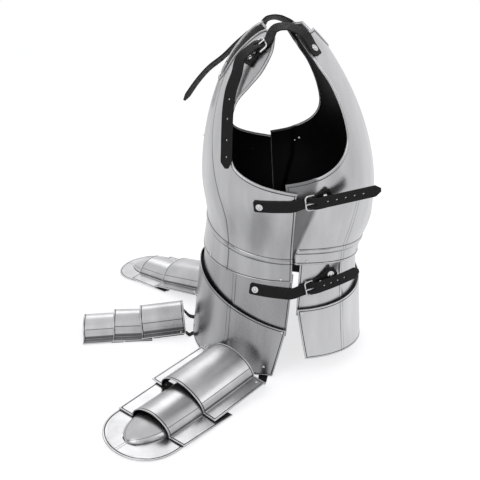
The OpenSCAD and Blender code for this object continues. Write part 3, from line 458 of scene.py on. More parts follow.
def ends_fine(count, share):
    """Shares from 0 to 1, evenly spaced but close together near both ends, where share is the
    length of a fine step's unit."""
    fine = FINE_EDGE * share
    return np.concatenate([fine[:-1], np.linspace(fine[-1], 1 - fine[-1], count),
                           1 - fine[-2::-1]])


NECK_SHARE, SHOULDER_SHARE, HALF_RUN = 0.36, 0.46, 270
EDGE_R, SKIRT_FLARE, STEP_DEPTH = 0.75, 2.5, 4.2
FOLD_DEEP, FOLD_SPREAD, BREAST_DEGREE, BACK_DEGREE = 0.9, 5, 2.1, 2.4
BACK_LINE_C, BACK_LINE_LONG = 54.5, 100
# The bend's cubic, share squared times (1 - share), is highest at two thirds, and this makes it 1.
BEND_TOP = 6.75


def plate_columns():
    """Places of a plate's columns from its right side to its left: fine at the sides, with the
    corners of the shoulder on columns of their own."""
    side = 1 - FINE_EDGE[::-1] / HALF_RUN
    half = np.concatenate([np.linspace(0, NECK_SHARE, 28),
                           np.linspace(NECK_SHARE, SHOULDER_SHARE, 9)[1:],
                           np.linspace(SHOULDER_SHARE, side[0] - 0.01, 64)[1:], side])
    return np.concatenate([-half[:0:-1], half])


def top_edge(s, neck, armhole):
    """Upper outline by the share s: the neck, straight along the shoulder, down the armhole."""
    along = (s - NECK_SHARE) / (SHOULDER_SHARE - NECK_SHARE)
    straight = mix(np.asarray(neck[-1], float), np.asarray(armhole[0], float), along[..., None])
    arm = curve(armhole, np.clip((s - SHOULDER_SHARE) / (1 - SHOULDER_SHARE), 0, 1))
    return np.where((s < NECK_SHARE)[..., None], curve(neck, np.clip(s / NECK_SHARE, 0, 1)),
                    np.where((s < SHOULDER_SHARE)[..., None], straight, arm))


def torso_plate(name, facing, reach, foot_z, bead_z, neck, armhole, bend, step_in, crease,
                replaced, steel):
    """A plate of the torso: each column goes from the foot over the bead to the upper outline, bent
    to the middle beside the armhole, and the sheet's face stands off it by skirt, bead and roll."""
    s = plate_columns()
    m = np.abs(s)
    sign = np.where(s < 0, 1, -1) * facing
    c = reach * m
    foot, bead = np.stack([c, foot_z(c)], -1), np.stack([c, bead_z(c)], -1)
    top = top_edge(m, neck, armhole)

    def span(a, b):
        there, here = torso(facing, a[:, 0], a[:, 1], 0), torso(facing, b[:, 0], b[:, 1], 0)
        return np.linalg.norm(there - here, axis=-1)

    rim = torso(facing, top[:, 0] * sign, top[:, 1], 0)
    beside = torso(facing, top[:, 0] * sign + 0.5, top[:, 1], 0) - rim
    above = torso(facing, top[:, 0] * sign, top[:, 1] + 1, 0) - rim
    inwards = np.cross(np.cross(beside, above), np.gradient(rim, axis=0))
    inwards *= -np.sign(inwards[len(s) // 2, 2]) / np.linalg.norm(inwards, axis=1)[:, None]
    run = np.concatenate([[0], np.cumsum(np.linalg.norm(np.diff(rim, axis=0), axis=1))])
    weight = np.exp(-((run[:, None] - run) / CORNER_SPREAD) ** 2) * np.gradient(run)
    zone = rim + weight @ inwards * RIM_ZONE / weight.sum(1)[:, None]
    zone_c = np.degrees(np.arctan2(zone[:, 0], facing * zone[:, 1])) * sign
    zone = np.stack([zone_c, zone[:, 2]], -1)
    low, high = span(foot, bead), span(bead, zone)
    near = np.linspace(-BEAD_HALF - 0.8, BEAD_HALF + 0.8, 17)
    lower = np.concatenate([np.tile(FINE_EDGE, (len(s), 1)),
                            np.linspace(FINE_EDGE[-1] + 1, low + near[0] - 1, 5).T,
                            low[:, None] + near[near <= 0]], 1)
    upper = np.concatenate([np.tile(near[near > 0], (len(s), 1)),
                            np.linspace(near[-1] + 1, high, 46).T], 1)
    p_low = foot[:, None] + (bead - foot)[:, None] * (lower / low[:, None])[..., None]
    share = upper / high[:, None]
    p_high = bead[:, None] + (zone - bead)[:, None] * share[..., None]
    bent = np.interp(m, *np.array(bend).T)[:, None]
    p_high[..., 0] -= BEND_TOP * share ** 2 * (1 - share) * bent
    p_rim = top[:, None] + (zone - top)[:, None] * (ROLL_EDGE / RIM_ZONE)[None, :, None]
    p = np.concatenate([p_low, p_high, p_rim], 1).transpose(1, 0, 2)
    above_rim = np.full((len(s), len(ROLL_EDGE)), 90.0)
    from_bead = np.concatenate([lower - low[:, None], upper, above_rim], 1).T
    angle, z = p[..., 0] * sign, p[..., 1]
    skirt = SKIRT_FLARE * np.clip(-from_bead / low[None, :], 0, 1)
    set_in = step_in(p[..., 0], z)
    base = torso(facing, angle, z, skirt * (1 - set_in) - STEP_DEPTH * set_in)
    rolled = edge_distance(base, base[-1])
    plain = edge_distance(base, np.concatenate([base[::-1, 0], base[0, 1:], base[1:, -1]]))
    ridge = BEAD_HIGH * np.clip(1 - (from_bead / BEAD_HALF) ** 2, 0, 1) ** 0.7 * (1 - set_in)
    # Border, bead, crease and band are distances that also place the lines of painted shade.
    marks = {"border": np.minimum(plain, rolled - 1.4), "bead": from_bead,
             # The set-in step's mark paints shade on it, up to 0.6 of the way to near black.
             "recess_shade": np.clip(set_in * 1.6, 0, 1) * 0.6,
             "crease": (np.abs(angle) - crease(z)) * BREAST_DEGREE if crease else None}
    if facing > 0:
        marks["bead"] = np.where(set_in > 0.3, 99, marks["bead"])
        marks["band"] = np.where(z < bead_z(45.0) + BACK_LINE_LONG,
                                 (np.abs(angle) - BACK_LINE_C) * BACK_DEGREE, 99)
    roll = np.sqrt(np.clip(RIM_R ** 2 - (rolled - RIM_R) ** 2, 0, RIM_R ** 2)) * (1 - set_in)
    fold = FOLD_DEEP * np.exp(-np.abs(marks["crease"]) / FOLD_SPREAD) if crease else 0.0
    half, on_roll, round_in = STEEL_THICK / 2, rolled < 2 * RIM_R, rounded(rolled, 0.6)
    face = outwards(base)
    out = half * rounded(plain, EDGE_R) + turned_edge(plain) * (plain < rolled)
    out = np.where(on_roll, np.maximum(out * round_in, RIM_SHIFT + roll), out)
    out = out + ridge - fold * (rolled > 6) * (plain > 6)
    into = -half * rounded(plain, EDGE_R)
    into = np.where(on_roll, np.minimum(into * round_in, RIM_SHIFT - roll), into)
    into = into + ridge * 0.8
    closed(out, into)
    out[-1] = into[-1] = RIM_SHIFT * (1 - set_in[-1])
    return shell(name, base + face * out[..., None], base + face * into[..., None], "cuirass",
                 replaced, steel, marks, paint=np.minimum(rolled - 2 * RIM_R, plain - 1.5))


def outline(knots, low, high):
    """Knots given as angle and share of the way from the low height to the high one."""
    return [(c, mix(low, high, f)) for c, f in knots]


FRONT_NECK = outline([(0, 0), (14, 0.04), (25, 0.2), (32, 0.48), (45, 0.76), (56, 0.93), (66, 1)],
                     FRONT_NECK_Z, TOP_Z - 2)
FRONT_ARMHOLE = outline([(75, 1), (75, 0.915), (70.5, 0.79), (64, 0.69), (56.5, 0.575), (55, 0.44),
                         (56, 0.28), (60, 0.145), (73, 0.056), (91, 0)], ARMHOLE_Z, TOP_Z - 12)
FRONT_BEND = ((0, 0), (0.12, 3.4), (0.24, 10.3), (0.36, 18.5), (0.46, 24), (0.52, 25.2),
              (0.58, 23.2), (0.64, 19.7), (0.7, 14), (0.76, 7), (0.82, 4.6), (0.88, 2.3), (1, 0))
FOLD_LINE = np.array([(240, 48.4), (275, 49.6), (300, 48.5), (327, 45.5), (352, 42), (402, 36),
                      (450, 31), (495, 26)])


def front_edge_z(c):
    return mix(186, 169, ease(np.abs(c) / 90))


def flat_side(c, z):
    return np.zeros(np.broadcast(c, z).shape)


torso_plate("breast_plate_sheet", -1, 91, front_edge_z,
            lambda c: mix(241, 206, ease(np.abs(c) / 90)), FRONT_NECK, FRONT_ARMHOLE,
            FRONT_BEND, flat_side,
            lambda z: np.interp(z, FOLD_LINE[:, 0], FOLD_LINE[:, 1]), "breastplate", BREAST_STEEL_SHADED)


# The back plate is raised the same way. Its sides are set in by a step, so that they slide under
# the breast plate when the straps are drawn up.
BACK_NECK = outline([(0, 0), (18, 0.03), (36, 0.15), (52, 0.4), (63, 0.75), (70, 1)],
                    BACK_NECK_Z, TOP_Z - 1)
BACK_ARMHOLE = outline([(90, 1), (83.5, 0.9), (77.5, 0.79), (71, 0.67), (65.5, 0.48), (64, 0.29),
                        (70, 0.141), (82, 0.042), (95, 0)], ARMHOLE_Z + 13, TOP_Z - 8)
BACK_BEND = ((0, 0), (0.12, 4), (0.24, 19), (0.36, 19.3), (0.46, 29.1), (0.53, 21.1), (0.595, 18.8),
             (0.66, 15.1), (0.73, 8.9), (0.8, 4.2), (0.865, 0), (1, 0))


def back_edge_z(c):
    return mix(182, 201, ease(np.abs(c) / 90))


def side_step(c, z):
    """1 where the back plate's side is set in, its step leaning from the waist up to the arm."""
    return ease((np.abs(c) - mix(86.4, 79, np.clip((z - 215) / 85, 0, 1))) / 2.5)


torso_plate("back_plate_sheet", 1, 94, back_edge_z,
            lambda c: mix(213, 225, ease(np.abs(c) / 90)), BACK_NECK, BACK_ARMHOLE,
            BACK_BEND, side_step, None, "backplate", PLATE_STEEL)


# Two plain waist plates hang under the skirts, and fauld and culet stand outside them, all bent
# from flat sheet. A narrow raised band runs down each of them at both sides of the middle.
WAIST_IN, LAME_OUT, PLATE_LAP = 0.8, 6.0, 14
BAND_C, BAND_HALF, DEGREE_WIDE = 53.9, 2.6, 2.45
BAND_STEPS = np.array([-3.4, -3, -2.6, -2.2, -1.8, 1.8, 2.2, 2.6, 3, 3.4])


def waist_band(name, facing, low, high, low_off, high_off, body, band_c, replaced, steel):
    """A band between a lower and an upper edge, both given as angle and height by the share of the
    way across: every column is straight in angle and height."""
    s = ends_fine(77, 1 / HALF_RUN) * 2 - 1
    at_band = (band_c * DEGREE_WIDE + BAND_STEPS) / (0.5 * (low(1)[0] + high(1)[0]) * DEGREE_WIDE)
    s = np.unique(np.round(np.concatenate([s, -at_band, at_band]), 6))
    a = np.array([low(x) for x in s])
    b = np.array([high(x) for x in s])
    t = ends_fine(24, 1 / np.mean(np.abs(b[:, 1] - a[:, 1])))
    p = a[None] + (b - a)[None] * t[:, None, None]
    base = torso(facing, facing * -p[..., 0], p[..., 1],
                 mix(low_off, high_off, t)[:, None])
    border = edge_distance(base, all_round(base))
    # The band's distance also places the lines of painted shade at its edges.
    band = (np.abs(p[..., 0]) - band_c) * DEGREE_WIDE
    raised = 0.55 * (1 - ease((np.abs(band) - BAND_HALF + 0.5) / 0.8)) * (border > 6)
    face = outwards(base)
    half = STEEL_THICK / 2 * rounded(border, EDGE_R)
    out = half + turned_edge(border) + raised
    closed(out, half)
    return shell(name, base + face * out[..., None], base - face * half[..., None], body, replaced,
                 steel, {"border": border, "band": band}, paint=border - 1.5)


def fauld_rim_z(c):
    return mix(85, 152, np.maximum(np.cos(np.radians(c)), 0) ** 1.3)


def culet_rim_z(c):
    return mix(133, 123, ease(np.abs(c) / 90))


waist_band("front_waist_sheet", -1, lambda s: (88 * s, fauld_rim_z(88 * s) - PLATE_LAP),
           lambda s: (92 * s, front_edge_z(92 * s) + PLATE_LAP), -WAIST_IN, -WAIST_IN, "cuirass",
           BAND_C, "front_waist_plate", WAIST_STEEL_SHADED)
waist_band("back_waist_sheet", 1, lambda s: (86 * s, culet_rim_z(86 * s) - PLATE_LAP),
           lambda s: (84 * s, back_edge_z(84 * s) + PLATE_LAP), -WAIST_IN, -WAIST_IN, "cuirass",
           BAND_C, "back_waist_plate", PLATE_STEEL)
waist_band("fauld_sheet", -1, lambda s: (81 * s, 3.2), lambda s: (88 * s, fauld_rim_z(88 * s)),
           LAME_OUT - 1, LAME_OUT, "fauld", BAND_C - 1, "fauld_lame", FAULD_STEEL_SHADED)
waist_band("culet_sheet", 1,
           lambda s: (81 * s, mix(0.2, 33, np.sin(np.radians(90 * np.abs(s))))),
           lambda s: (86 * s, culet_rim_z(86 * s)), LAME_OUT - 1, LAME_OUT, "culet", BAND_C + 2,
           "culet_lame", PLATE_STEEL)


# Each tasset is three lames, the lower ones sliding under those above. A lame is bent from sheet:
# a round arch over the thigh between two flat flanges, with turned edges all round.
def turn_z(angle):
    a = math.radians(angle)
    return np.array([[math.cos(a), -math.sin(a), 0], [math.sin(a), math.cos(a), 0], [0, 0, 1]])


def turn_y(angle):
    a = math.radians(angle)
    return np.array([[math.cos(a), 0, math.sin(a)], [0, 1, 0], [-math.sin(a), 0, math.cos(a)]])


STRAP_LEATHER_THICK, HANGER_THICK, RUNNING_GAP = 2.4, 2.2, 0.3
SIDE_LENGTHS, SIDE_WIDTH, SIDE_FLANGE, SIDE_ARCH, SIDE_TAPER = (116, 104, 96), 158, 26, 36, 6
SPOON_STRAIGHT, SPOON_BOSS = 0.3, 0.74


def side_tasset(root, headings, shift):
    """Sizes of a side tasset: root, headings, lengths and lap, then widths, flanges and arches at
    the root (0) and foot (1) of each lame, the lift of its top lame, and its sideways shift."""
    w, f, a = SIDE_WIDTH, SIDE_FLANGE, SIDE_ARCH
    return dict(root=root, way=headings, long=SIDE_LENGTHS, lap=27, w0=(w, w - 2, w - 18),
                w1=(w, w - 2 - 2 * SIDE_TAPER, 0), f0=(f, f + 9, f + 6), f1=(f, f + 5, 0),
                a0=(a, a - 9, a - 19), a1=(a - 3, a - 11, 0), lift=18, shift=shift)


TASSETS = {
    "left": side_tasset((168.3, -97.4), (44, 50, 47), 6),
    "right": side_tasset((-150, -128), (-38, -34, -30), 3),
    "middle": dict(root=(4, -190), way=(6, 6, 6), long=(84, 74, 76), lap=20, w0=(100, 98, 96),
                   w1=(101, 99, 97), f0=(14, 14.5, 15), f1=(14, 14.5, 15), a0=(40, 36, 32),
                   a1=(40, 36, 32), lift=10, shift=0)}
LAMES = ("upper", "middle", "lower")


def lame_frame(t, k):
    """Root point and turn of lame k: it lies on its leathers and tips down over the next lame."""
    root = np.array(t["root"], float)
    for i in range(k):
        h = math.radians(t["way"][i])
        root = root + (t["long"][i] - t["lap"]) * np.array([math.sin(h), -math.cos(h)])
        if i == 0:
            root = root + t["shift"] * np.array([math.cos(h), math.sin(h)])
    step = STEEL_THICK + 2 * RUNNING_GAP
    lift = HANGER_THICK + RUNNING_GAP + (t["lift"] if k == 0 else 0)
    tip = (2 * step - t["lift"]) / t["long"][0] if k == 0 else step / (t["long"][1] - t["lap"])
    pitch = 0 if k == 2 else math.degrees(math.asin(tip))
    return np.array([root[0], root[1], lift]), turn_z(t["way"][k] - 90) @ turn_y(-pitch)


def lame(name, t, k, spoon, body, replaced):
    """A lame's middle surface: along u, flanges flat at both sides, and between them half an
    ellipse of the arch's width and height. A spoon's outline and arch end in rounds."""
    long = t["long"][k]
    rows = ends_fine(34, 1 / long)
    if spoon:
        rows = np.concatenate([rows[rows < SPOON_STRAIGHT], np.sin(
            np.linspace(np.arcsin(SPOON_STRAIGHT), np.pi / 2, 70))])
    u = long * rows
    if spoon:
        straight, boss = long * SPOON_STRAIGHT, long * SPOON_BOSS
        dome = np.sqrt(np.clip(1 - (u / boss) ** 2, 0, 1))
        half = np.maximum(t["w0"][k] / 2 * np.sqrt(np.clip(
            1 - (np.clip(u - straight, 0, None) / (long - straight)) ** 2.3, 0, 1)), 5)
        arch_half = np.maximum((t["w0"][k] / 2 - t["f0"][k]) * dome, 3)
        high = t["a0"][k] * dome
    else:
        f = u / long
        half = mix(t["w0"][k], t["w1"][k], f) / 2
        arch_half = half - mix(t["f0"][k], t["f1"][k], f)
        high = mix(t["a0"][k], t["a1"][k], f)
    a = np.radians(np.concatenate([np.arange(0, 6, 1.5), np.linspace(6, 174, 57),
                                   np.arange(175.5, 180.1, 1.5)]))
    flange = np.concatenate([FINE_EDGE, np.linspace(FINE_EDGE[-1] + 0.8, 100, 9)]) / 100
    v_side = half[:, None] - (half - arch_half)[:, None] * flange
    arch_w = arch_half - STEEL_THICK / 2
    v = np.concatenate([v_side, arch_w[:, None] * np.cos(a)[1:-1], -v_side[:, ::-1]], 1)
    w = np.concatenate([v_side * 0, high[:, None] * np.sin(a)[1:-1], v_side * 0], 1)
    w = w + STEEL_THICK / 2
    base = np.stack([np.broadcast_to(u[:, None], v.shape), v, w], -1)
    border = edge_distance(base, all_round(base))
    join = np.abs(v) - (arch_half - 1.0)[:, None]
    # The join of arch and flange carries a line of painted shade.
    marks = {"border": border, "band": np.where(border > 3, join + 2.6, 99)}
    face = outwards(base)
    half_thick = STEEL_THICK / 2 * rounded(border, EDGE_R)
    out = half_thick + turned_edge(border) + 0.5 * np.exp(-((join - 2.8) / 1.1) ** 2) * (border > 5)
    closed(out, half_thick)
    place, turn = lame_frame(t, k)
    outer, inner = base + face * out[..., None], base - face * half_thick[..., None]
    return shell(name, place + outer @ turn.T, place + inner @ turn.T, body, replaced,
                 TASSET_STEEL_SHADED, marks, paint=border - 1.5)


for side, t in TASSETS.items():
    for k, part in enumerate(LAMES):
        lame(f"{side}_{part}_lame_sheet", t, k, k == 2 and side != "middle",
             f"{side}_tasset_{part}", f"{side}_tasset_{part}_lame")


# The leathers are strips of thick black harness leather, dyed through and waxed, with cut edges
# rounded off. Two strips carry each lame of a tasset, riveted at its root, and lie under the next.
def black_leather(wire):
    """Black leather with fine pores, worn a little unevenly and lighter at its cut edges."""
    place = wire.node("TexCoord", None, None, out=3)
    pores = wire.node("TexVoronoi", {"feature": "DISTANCE_TO_EDGE"},
                      {"Vector": place, "Scale": 750.0, "Randomness": 1.0})
    cloud = noise(wire, 45, (1, 1, 1), 3.0, 2.0)
    rub = noise(wire, 260, (1, 1, 1), 3.0, 7.0)
    edge = wire.node("Attribute", {"attribute_name": "border"}, None, out=2).step(1.5, 0.3)
    bump = wire.node("Bump", None, {"Strength": 0.5, "Distance": 0.0005,
                                    "Height": pores.step(0.0, 0.25) * 0.7 + rub * 0.6})
    shade = (cloud * 0.6 + rub * 0.4).mix(grey(0.003), grey(0.012))
    return wire.node("BsdfPrincipled", None, {
        "Base Color": (edge * 0.5).mix(shade, grey(0.03)), "Specular IOR Level": 0.17,
        "Roughness": 0.42 + (rub - 0.5) * 0.22 + (cloud - 0.5) * 0.15 + edge * 0.08,
        "Normal": bump})


BLACK_LEATHER = finish("black harness leather", black_leather)


def smooth_line(knots, step):
    """Smooth line through the knots: on each piece the cubic whose slope at a knot is that of the
    line from its neighbour to its neighbour. Returns the points, and their share of the knots."""
    k = np.asarray(knots, float)
    t = np.concatenate([[0], np.cumsum(np.linalg.norm(np.diff(k, axis=0), axis=1))])
    slope = np.gradient(k, t, axis=0)
    x = np.linspace(0, t[-1], max(int(t[-1] / step), 8))
    i = np.clip(np.searchsorted(t, x, side="right") - 1, 0, len(t) - 2)
    h = (t[i + 1] - t[i])[:, None]
    f = ((x - t[i])[:, None]) / h
    line = ((1 + 2 * f) * (1 - f) ** 2 * k[i] + f * (1 - f) ** 2 * h * slope[i]
            + f * f * (3 - 2 * f) * k[i + 1] + f * f * (f - 1) * h * slope[i + 1])
    return line, np.interp(x, t, np.arange(len(t)))


def blended(values, share):
    """Vectors given at the knots, taken in a straight line at shares between them."""
    v = np.asarray(values, float)
    return np.stack([np.interp(share, np.arange(len(v)), v[:, i]) for i in range(v.shape[1])], 1)


def unit(v):
    v = np.asarray(v, float)
    return v / np.linalg.norm(v, axis=-1, keepdims=True)


STRIP_COLUMNS = np.array([0.11, 0.22, 0.4, 0.65, 0.84, 0.9, 0.95, 0.98, 1.0])
STRIP_COLUMNS = np.concatenate([-STRIP_COLUMNS[::-1], [0], STRIP_COLUMNS])
MIDDLE_COLUMN = len(STRIP_COLUMNS) // 2
STRIP_ENDS = np.array([0, 0.3, 0.7, 1.2, 2, 3])
LINE_STEP, ROW_STEP, HOLE_ROOM, CUT_ROUND = 0.7, 2.2, 1.3, 0.9


def strip(knots, looks, wide, thick, start=(1, 1), tip=(1, 1), holes=(), across=None):
    """A leather strip: a profile with rounded edges carried along a smooth line, its face looking
    along looks. start and tip are (share of the width at the end, length that it takes); holes are
    (place among the knots, half length, half width), round or long ones moved into the grid.
    Returns its outer and inner grid, the distance from its border, and its holes."""
    line, share = smooth_line(knots, LINE_STEP)
    run = np.concatenate([[0], np.cumsum(np.linalg.norm(np.diff(line, axis=0), axis=1))])
    long = run[-1]
    holes = [(np.interp(place, share, run), a, b) for place, a, b in holes]
    rows = np.concatenate([STRIP_ENDS, np.arange(4.5, long - 4, ROW_STEP), long - STRIP_ENDS[::-1]])
    for place, half_long, _ in holes:
        rows = rows[np.abs(rows - place) > half_long * HOLE_ROOM + 0.6]
        across_hole = half_long * HOLE_ROOM * np.array([-1, -0.5, 0, 0.5, 1])
        rows = np.concatenate([rows, place + across_hole])
    rows = np.sort(rows)
    half = np.minimum(np.interp(rows, [0, start[1], long], [start[0], 1, 1]),
                      np.interp(rows, [0, long - tip[1], long], [1, 1, tip[0]])) * wide / 2
    x = np.broadcast_to(rows[:, None], (len(rows), len(STRIP_COLUMNS))).copy()
    y = -half[:, None] * STRIP_COLUMNS
    blocks = []
    for place, half_long, half_wide in holes:
        r = int(np.argmin(np.abs(rows - place)))
        a, b = slice(r - 2, r + 3), slice(MIDDLE_COLUMN - 2, MIDDLE_COLUMN + 3)
        dx = (x[a, b] - place) / (half_long * HOLE_ROOM)
        dy = y[a, b] / (STRIP_COLUMNS[MIDDLE_COLUMN + 2] * wide / 2)
        power = 2 if half_long < 3 else 5
        size = np.maximum((np.abs(dx) ** power + np.abs(dy) ** power) ** (1 / power), 1e-6)
        x[a, b], y[a, b] = place + half_long * dx / size, half_wide * dy / size
        blocks.append((r - 2, r + 2, MIDDLE_COLUMN - 2, MIDDLE_COLUMN + 2))
    way = unit(np.gradient(line, axis=0))
    look = unit(blended(looks, share))
    side = unit(np.cross(look, way)) if across is None else unit(blended(across, share))
    face = unit(np.cross(way, side))

    def at(values):
        return np.stack([np.interp(x, run, values[:, i]) for i in range(3)], -1)

    middle = at(line) + at(side) * y[..., None]
    border = np.minimum(half[:, None] - np.abs(y), np.minimum(x, long - x))
    border = np.maximum(border, 0)
    swell = thick / 2 * rounded(border, CUT_ROUND)
    closed(swell)
    out = at(face) * swell[..., None]
    return middle + out, middle - out, border, blocks


def leather(name, grids, body, replaced):
    """One piece from a strip's grids."""
    outer, inner, border, holes = grids
    return shell(name, outer, inner, body, replaced, BLACK_LEATHER, {"border": border},
                 holes=holes)


def joined(name, strips, body, replaced):
    """Several closed strips made one mesh, because they share a node."""
    made = [leather(f"{name}_{i}", grids, body, replaced) for i, grids in enumerate(strips)]
    with bpy.context.temp_override(active_object=made[0], selected_editable_objects=made):
        bpy.ops.object.join()
    made[0].name = name


def hanger_v(t, k):
    """Distance of a leather from the middle of lame k: under the middle of its flange."""
    return t["w0"][k] / 2 - t["f0"][k] / 2 - (1 if k == 2 else 0)


HANGER_WIDE = 16
UP = np.array([0, 0, 1.0])
for side, t in TASSETS.items():
    for k, part in enumerate(LAMES):
        place, turn = lame_frame(t, k)
        start = HANGER_THICK * 1.6 if k == 0 else 0
        if k == 2:
            long = t["long"][2] * 0.3
        else:
            skew = math.sin(math.radians(abs(t["way"][k + 1] - t["way"][k])))
            long = t["long"][k] - t["lap"] - 2 - hanger_v(t, k) * skew
        wide, strips = min(HANGER_WIDE, t["f0"][k] - 2), []
        for way in (-1, 1):
            v, w = way * hanger_v(t, k), -RUNNING_GAP - HANGER_THICK / 2
            knots = [place + turn @ np.array([u, v, w]) for u in np.linspace(start, long, 4)]
            strips.append(strip(knots, [turn @ UP] * 4, wide, HANGER_THICK))
        joined(f"{side}_{part}_lame_leather_strips", strips, f"{side}_tasset_{part}",
               f"{side}_tasset_{part}_leathers")


# Six short leathers hang the tassets: each is riveted to the inside of the fauld, passes under its
# lower edge and rises to the root of its tasset.
def seat(facing, c, z, off, way):
    """Frame on the torso: place, way along the surface, direction across it, and outwards."""
    p = torso(facing, c, z, off)
    level = torso(facing, c + 1, z, off) - torso(facing, c - 1, z, off)
    n = unit(np.cross(level, torso(facing, c, z + 2, off) - torso(facing, c, z - 2, off)))
    n = n * (1 if n @ np.array([p[0], p[1], 0]) > 0 else -1)
    along = unit(np.asarray(way, float) - n * (np.asarray(way, float) @ n))
    return p, along, np.cross(n, along), n


def at(f, u, v, n):
    """Point of a frame at distances along, across and outwards."""
    return f[0] + u * f[1] + v * f[2] + n * f[3]


HANGER_BOW, FLOOR_ROOM, hangers = 0.9, 0.6, []
for side, way, c in (("left", 1, 76), ("left", -1, 36), ("middle", 1, 11), ("middle", -1, -10),
                     ("right", 1, -36), ("right", -1, -76)):
    t = TASSETS[side]
    h = math.radians(t["way"][0])
    heading = np.array([math.sin(h), -math.cos(h), 0])
    aside = np.array([math.cos(h), math.sin(h), 0])
    floor_z = HANGER_THICK / 2
    low_z = floor_z + FLOOR_ROOM
    inside = LAME_OUT - 1 - STEEL_THICK / 2 - RUNNING_GAP - HANGER_BOW - HANGER_THICK / 2
    foot = (np.array([*t["root"], floor_z + t["lift"]]) + aside * way * hanger_v(t, 0)
            - heading * 2 * RUNNING_GAP)
    top, low = torso(-1, c, 26, inside), torso(-1, c, 5, inside - 0.6)
    normal = seat(-1, c, 26, inside, UP)[3]
    out = unit(normal * (1, 1, 0))
    along = np.cross(UP, out)
    bend = np.array([low[0], low[1], low_z + 0.2]) + 0.9 * out
    past = np.array([low[0], low[1], low_z]) + (LAME_OUT + 0.3) * out
    near = max(0, 1 - np.linalg.norm((foot - past)[:2]) / 12)
    climb = mix(past, foot, 0.4)
    climb[2] = low_z + near * 0.5 * (foot[2] - low_z)
    turned = unit(along + aside)
    hangers.append(strip(
        [top, low, bend, past, climb, foot], [out] * 6, min(HANGER_WIDE, t["f0"][0] - 2),
        HANGER_THICK,
        across=[along, along, along, unit(along + turned), unit(turned + aside), aside]))
joined("hanger_leather_strips", hangers, "fauld", "hanger_leathers")


# Each strap is riveted to the front, passes under its buckle's outer bar, through the tongue and
# over the heel bar, and its free end hangs. The right side is the left side's mirror image.
BUCKLE_LONG, STRAP_WIDE, HEEL_N, FLAP_TURN, CHAPE_THICK = 13, 20, 4.4, math.radians(21), 1.8
LAID_OFF = STEEL_THICK / 2 + RUNNING_GAP + STRAP_LEATHER_THICK / 2 + 0.2


def tilted(angle):
    """Direction along the plate, from the front to the back and rising by the angle."""
    return 0, math.cos(math.radians(angle)), math.sin(math.radians(angle))


def beside(places):
    """Points beside the torso: angle, share of the armhole's height, distance out, and rise."""
    return [torso(-1, c, mix(ARMHOLE_Z, TOP_Z, f), off) + rise * UP for c, f, off, rise in places]


def threaded(f):
    """The strap's way through the buckle, from ahead of its outer bar to over its heel bar."""
    return [at(f, -BUCKLE_LONG - 3, 0, 1.6), at(f, 2 - BUCKLE_LONG, 0, 1.7), at(f, -1, 0, 9.9),
            at(f, 4.5, 0, 10.6)]


CHEST_SEAT = seat(1, 81.5, 324, STEEL_THICK / 2, tilted(9))
WAIST_SEAT = seat(1, 76, 160, STEEL_THICK / 2, tilted(13))
SHOULDER_SEAT = seat(-1, 64.5, TOP_Z - 28, STEEL_THICK / 2 + 0.4, (-0.2, -0.55, -0.75))
SHOULDER_FOOT = seat(1, 78.5, TOP_Z - 26, LAID_OFF + 0.9, (-0.4, -0.5, 0.75))
CHEST_LINE = ([torso(-1, c, mix(312, 314.5, (c - 70) / 18), LAID_OFF)
               for c in (70, 70.7, 73.1, 77, 81, 85, 88.5)] + threaded(CHEST_SEAT)
              + [at(CHEST_SEAT, u, 0, 10.4 - u * 0.02) for u in (20, 40, 60, 80, 97, 104)])
CURLED_END = ((20, 4), (34, 13), (50, 28), (68, 45), (86, 58), (103, 66), (114, 69))
RIGHT_CHEST_LINE = CHEST_LINE[:11] + [at(CHEST_SEAT, u, v, 10.4 - u * 0.02) for u, v in CURLED_END]
WAIST_LINE = ([torso(-1, c, mix(155, 149, (c - 65) / 25), LAID_OFF + 0.2 - WAIST_IN)
               for c in (64.8, 65.6, 68.5, 73, 79, 85, 90)] + threaded(WAIST_SEAT)
              + [at(WAIST_SEAT, u, 0, 10.6 - 14 * (u / 87) ** 2) for u in (18, 34, 50, 66, 80, 87)])
OVER_SHOULDER = beside([(96.49, 0.9655, 10.3, 0), (90.48, 0.9996, 14.21, 0.1),
                        (83.99, 0.9996, 10.98, 4.1), (77.8, 0.9996, 12.9, 3.6),
                        (74.26, 0.9996, 16.41, 1.1)])
LEFT_HANG = [at(SHOULDER_SEAT, 16, -1, 10.6), at(SHOULDER_SEAT, 30, -1, 8.8)] + beside([
    (53.75, 0.7328, 11.65, 0), (52.52, 0.625, 10.42, 0), (52.86, 0.5172, 8.81, 0),
    (54.1, 0.3836, 7.35, 0), (55.14, 0.25, 7.4, 0), (55.8, 0.1681, 8.91, 0),
    (56.18, 0.1336, 9.01, 0)])
RIGHT_HANG = [at(SHOULDER_SEAT, 16, 0, 10.8), at(SHOULDER_SEAT, 30, 0, 11)] + beside([
    (43.68, 0.7198, 25.28, 0), (35.58, 0.6379, 37.92, 0), (29.94, 0.5431, 47.05, 0),
    (26.04, 0.4397, 55.27, 0), (24.91, 0.3966, 59.06, 0)])


def shoulder_strap(hang, turned_out, delay):
    """Line and looks of a shoulder strap with its free end, which turns to face turned_out."""
    n = SHOULDER_SEAT[3]
    line = ([at(SHOULDER_FOOT, u, 0, 0) for u in (-11, -9, 0, 8)] + OVER_SHOULDER
            + threaded(SHOULDER_SEAT) + hang)
    looks = ([SHOULDER_FOOT[3]] * 4 + [(0.6, 0.3, 0.75), (0.45, 0.15, 0.88), (0.4, -0.1, 0.9),
                                       (0.42, -0.35, 0.83), n] + [n] * 4
             + [unit(mix(n, np.array(turned_out), min(1, (i + delay) / (3 + delay))))
                for i in range(len(hang))])
    return line, looks


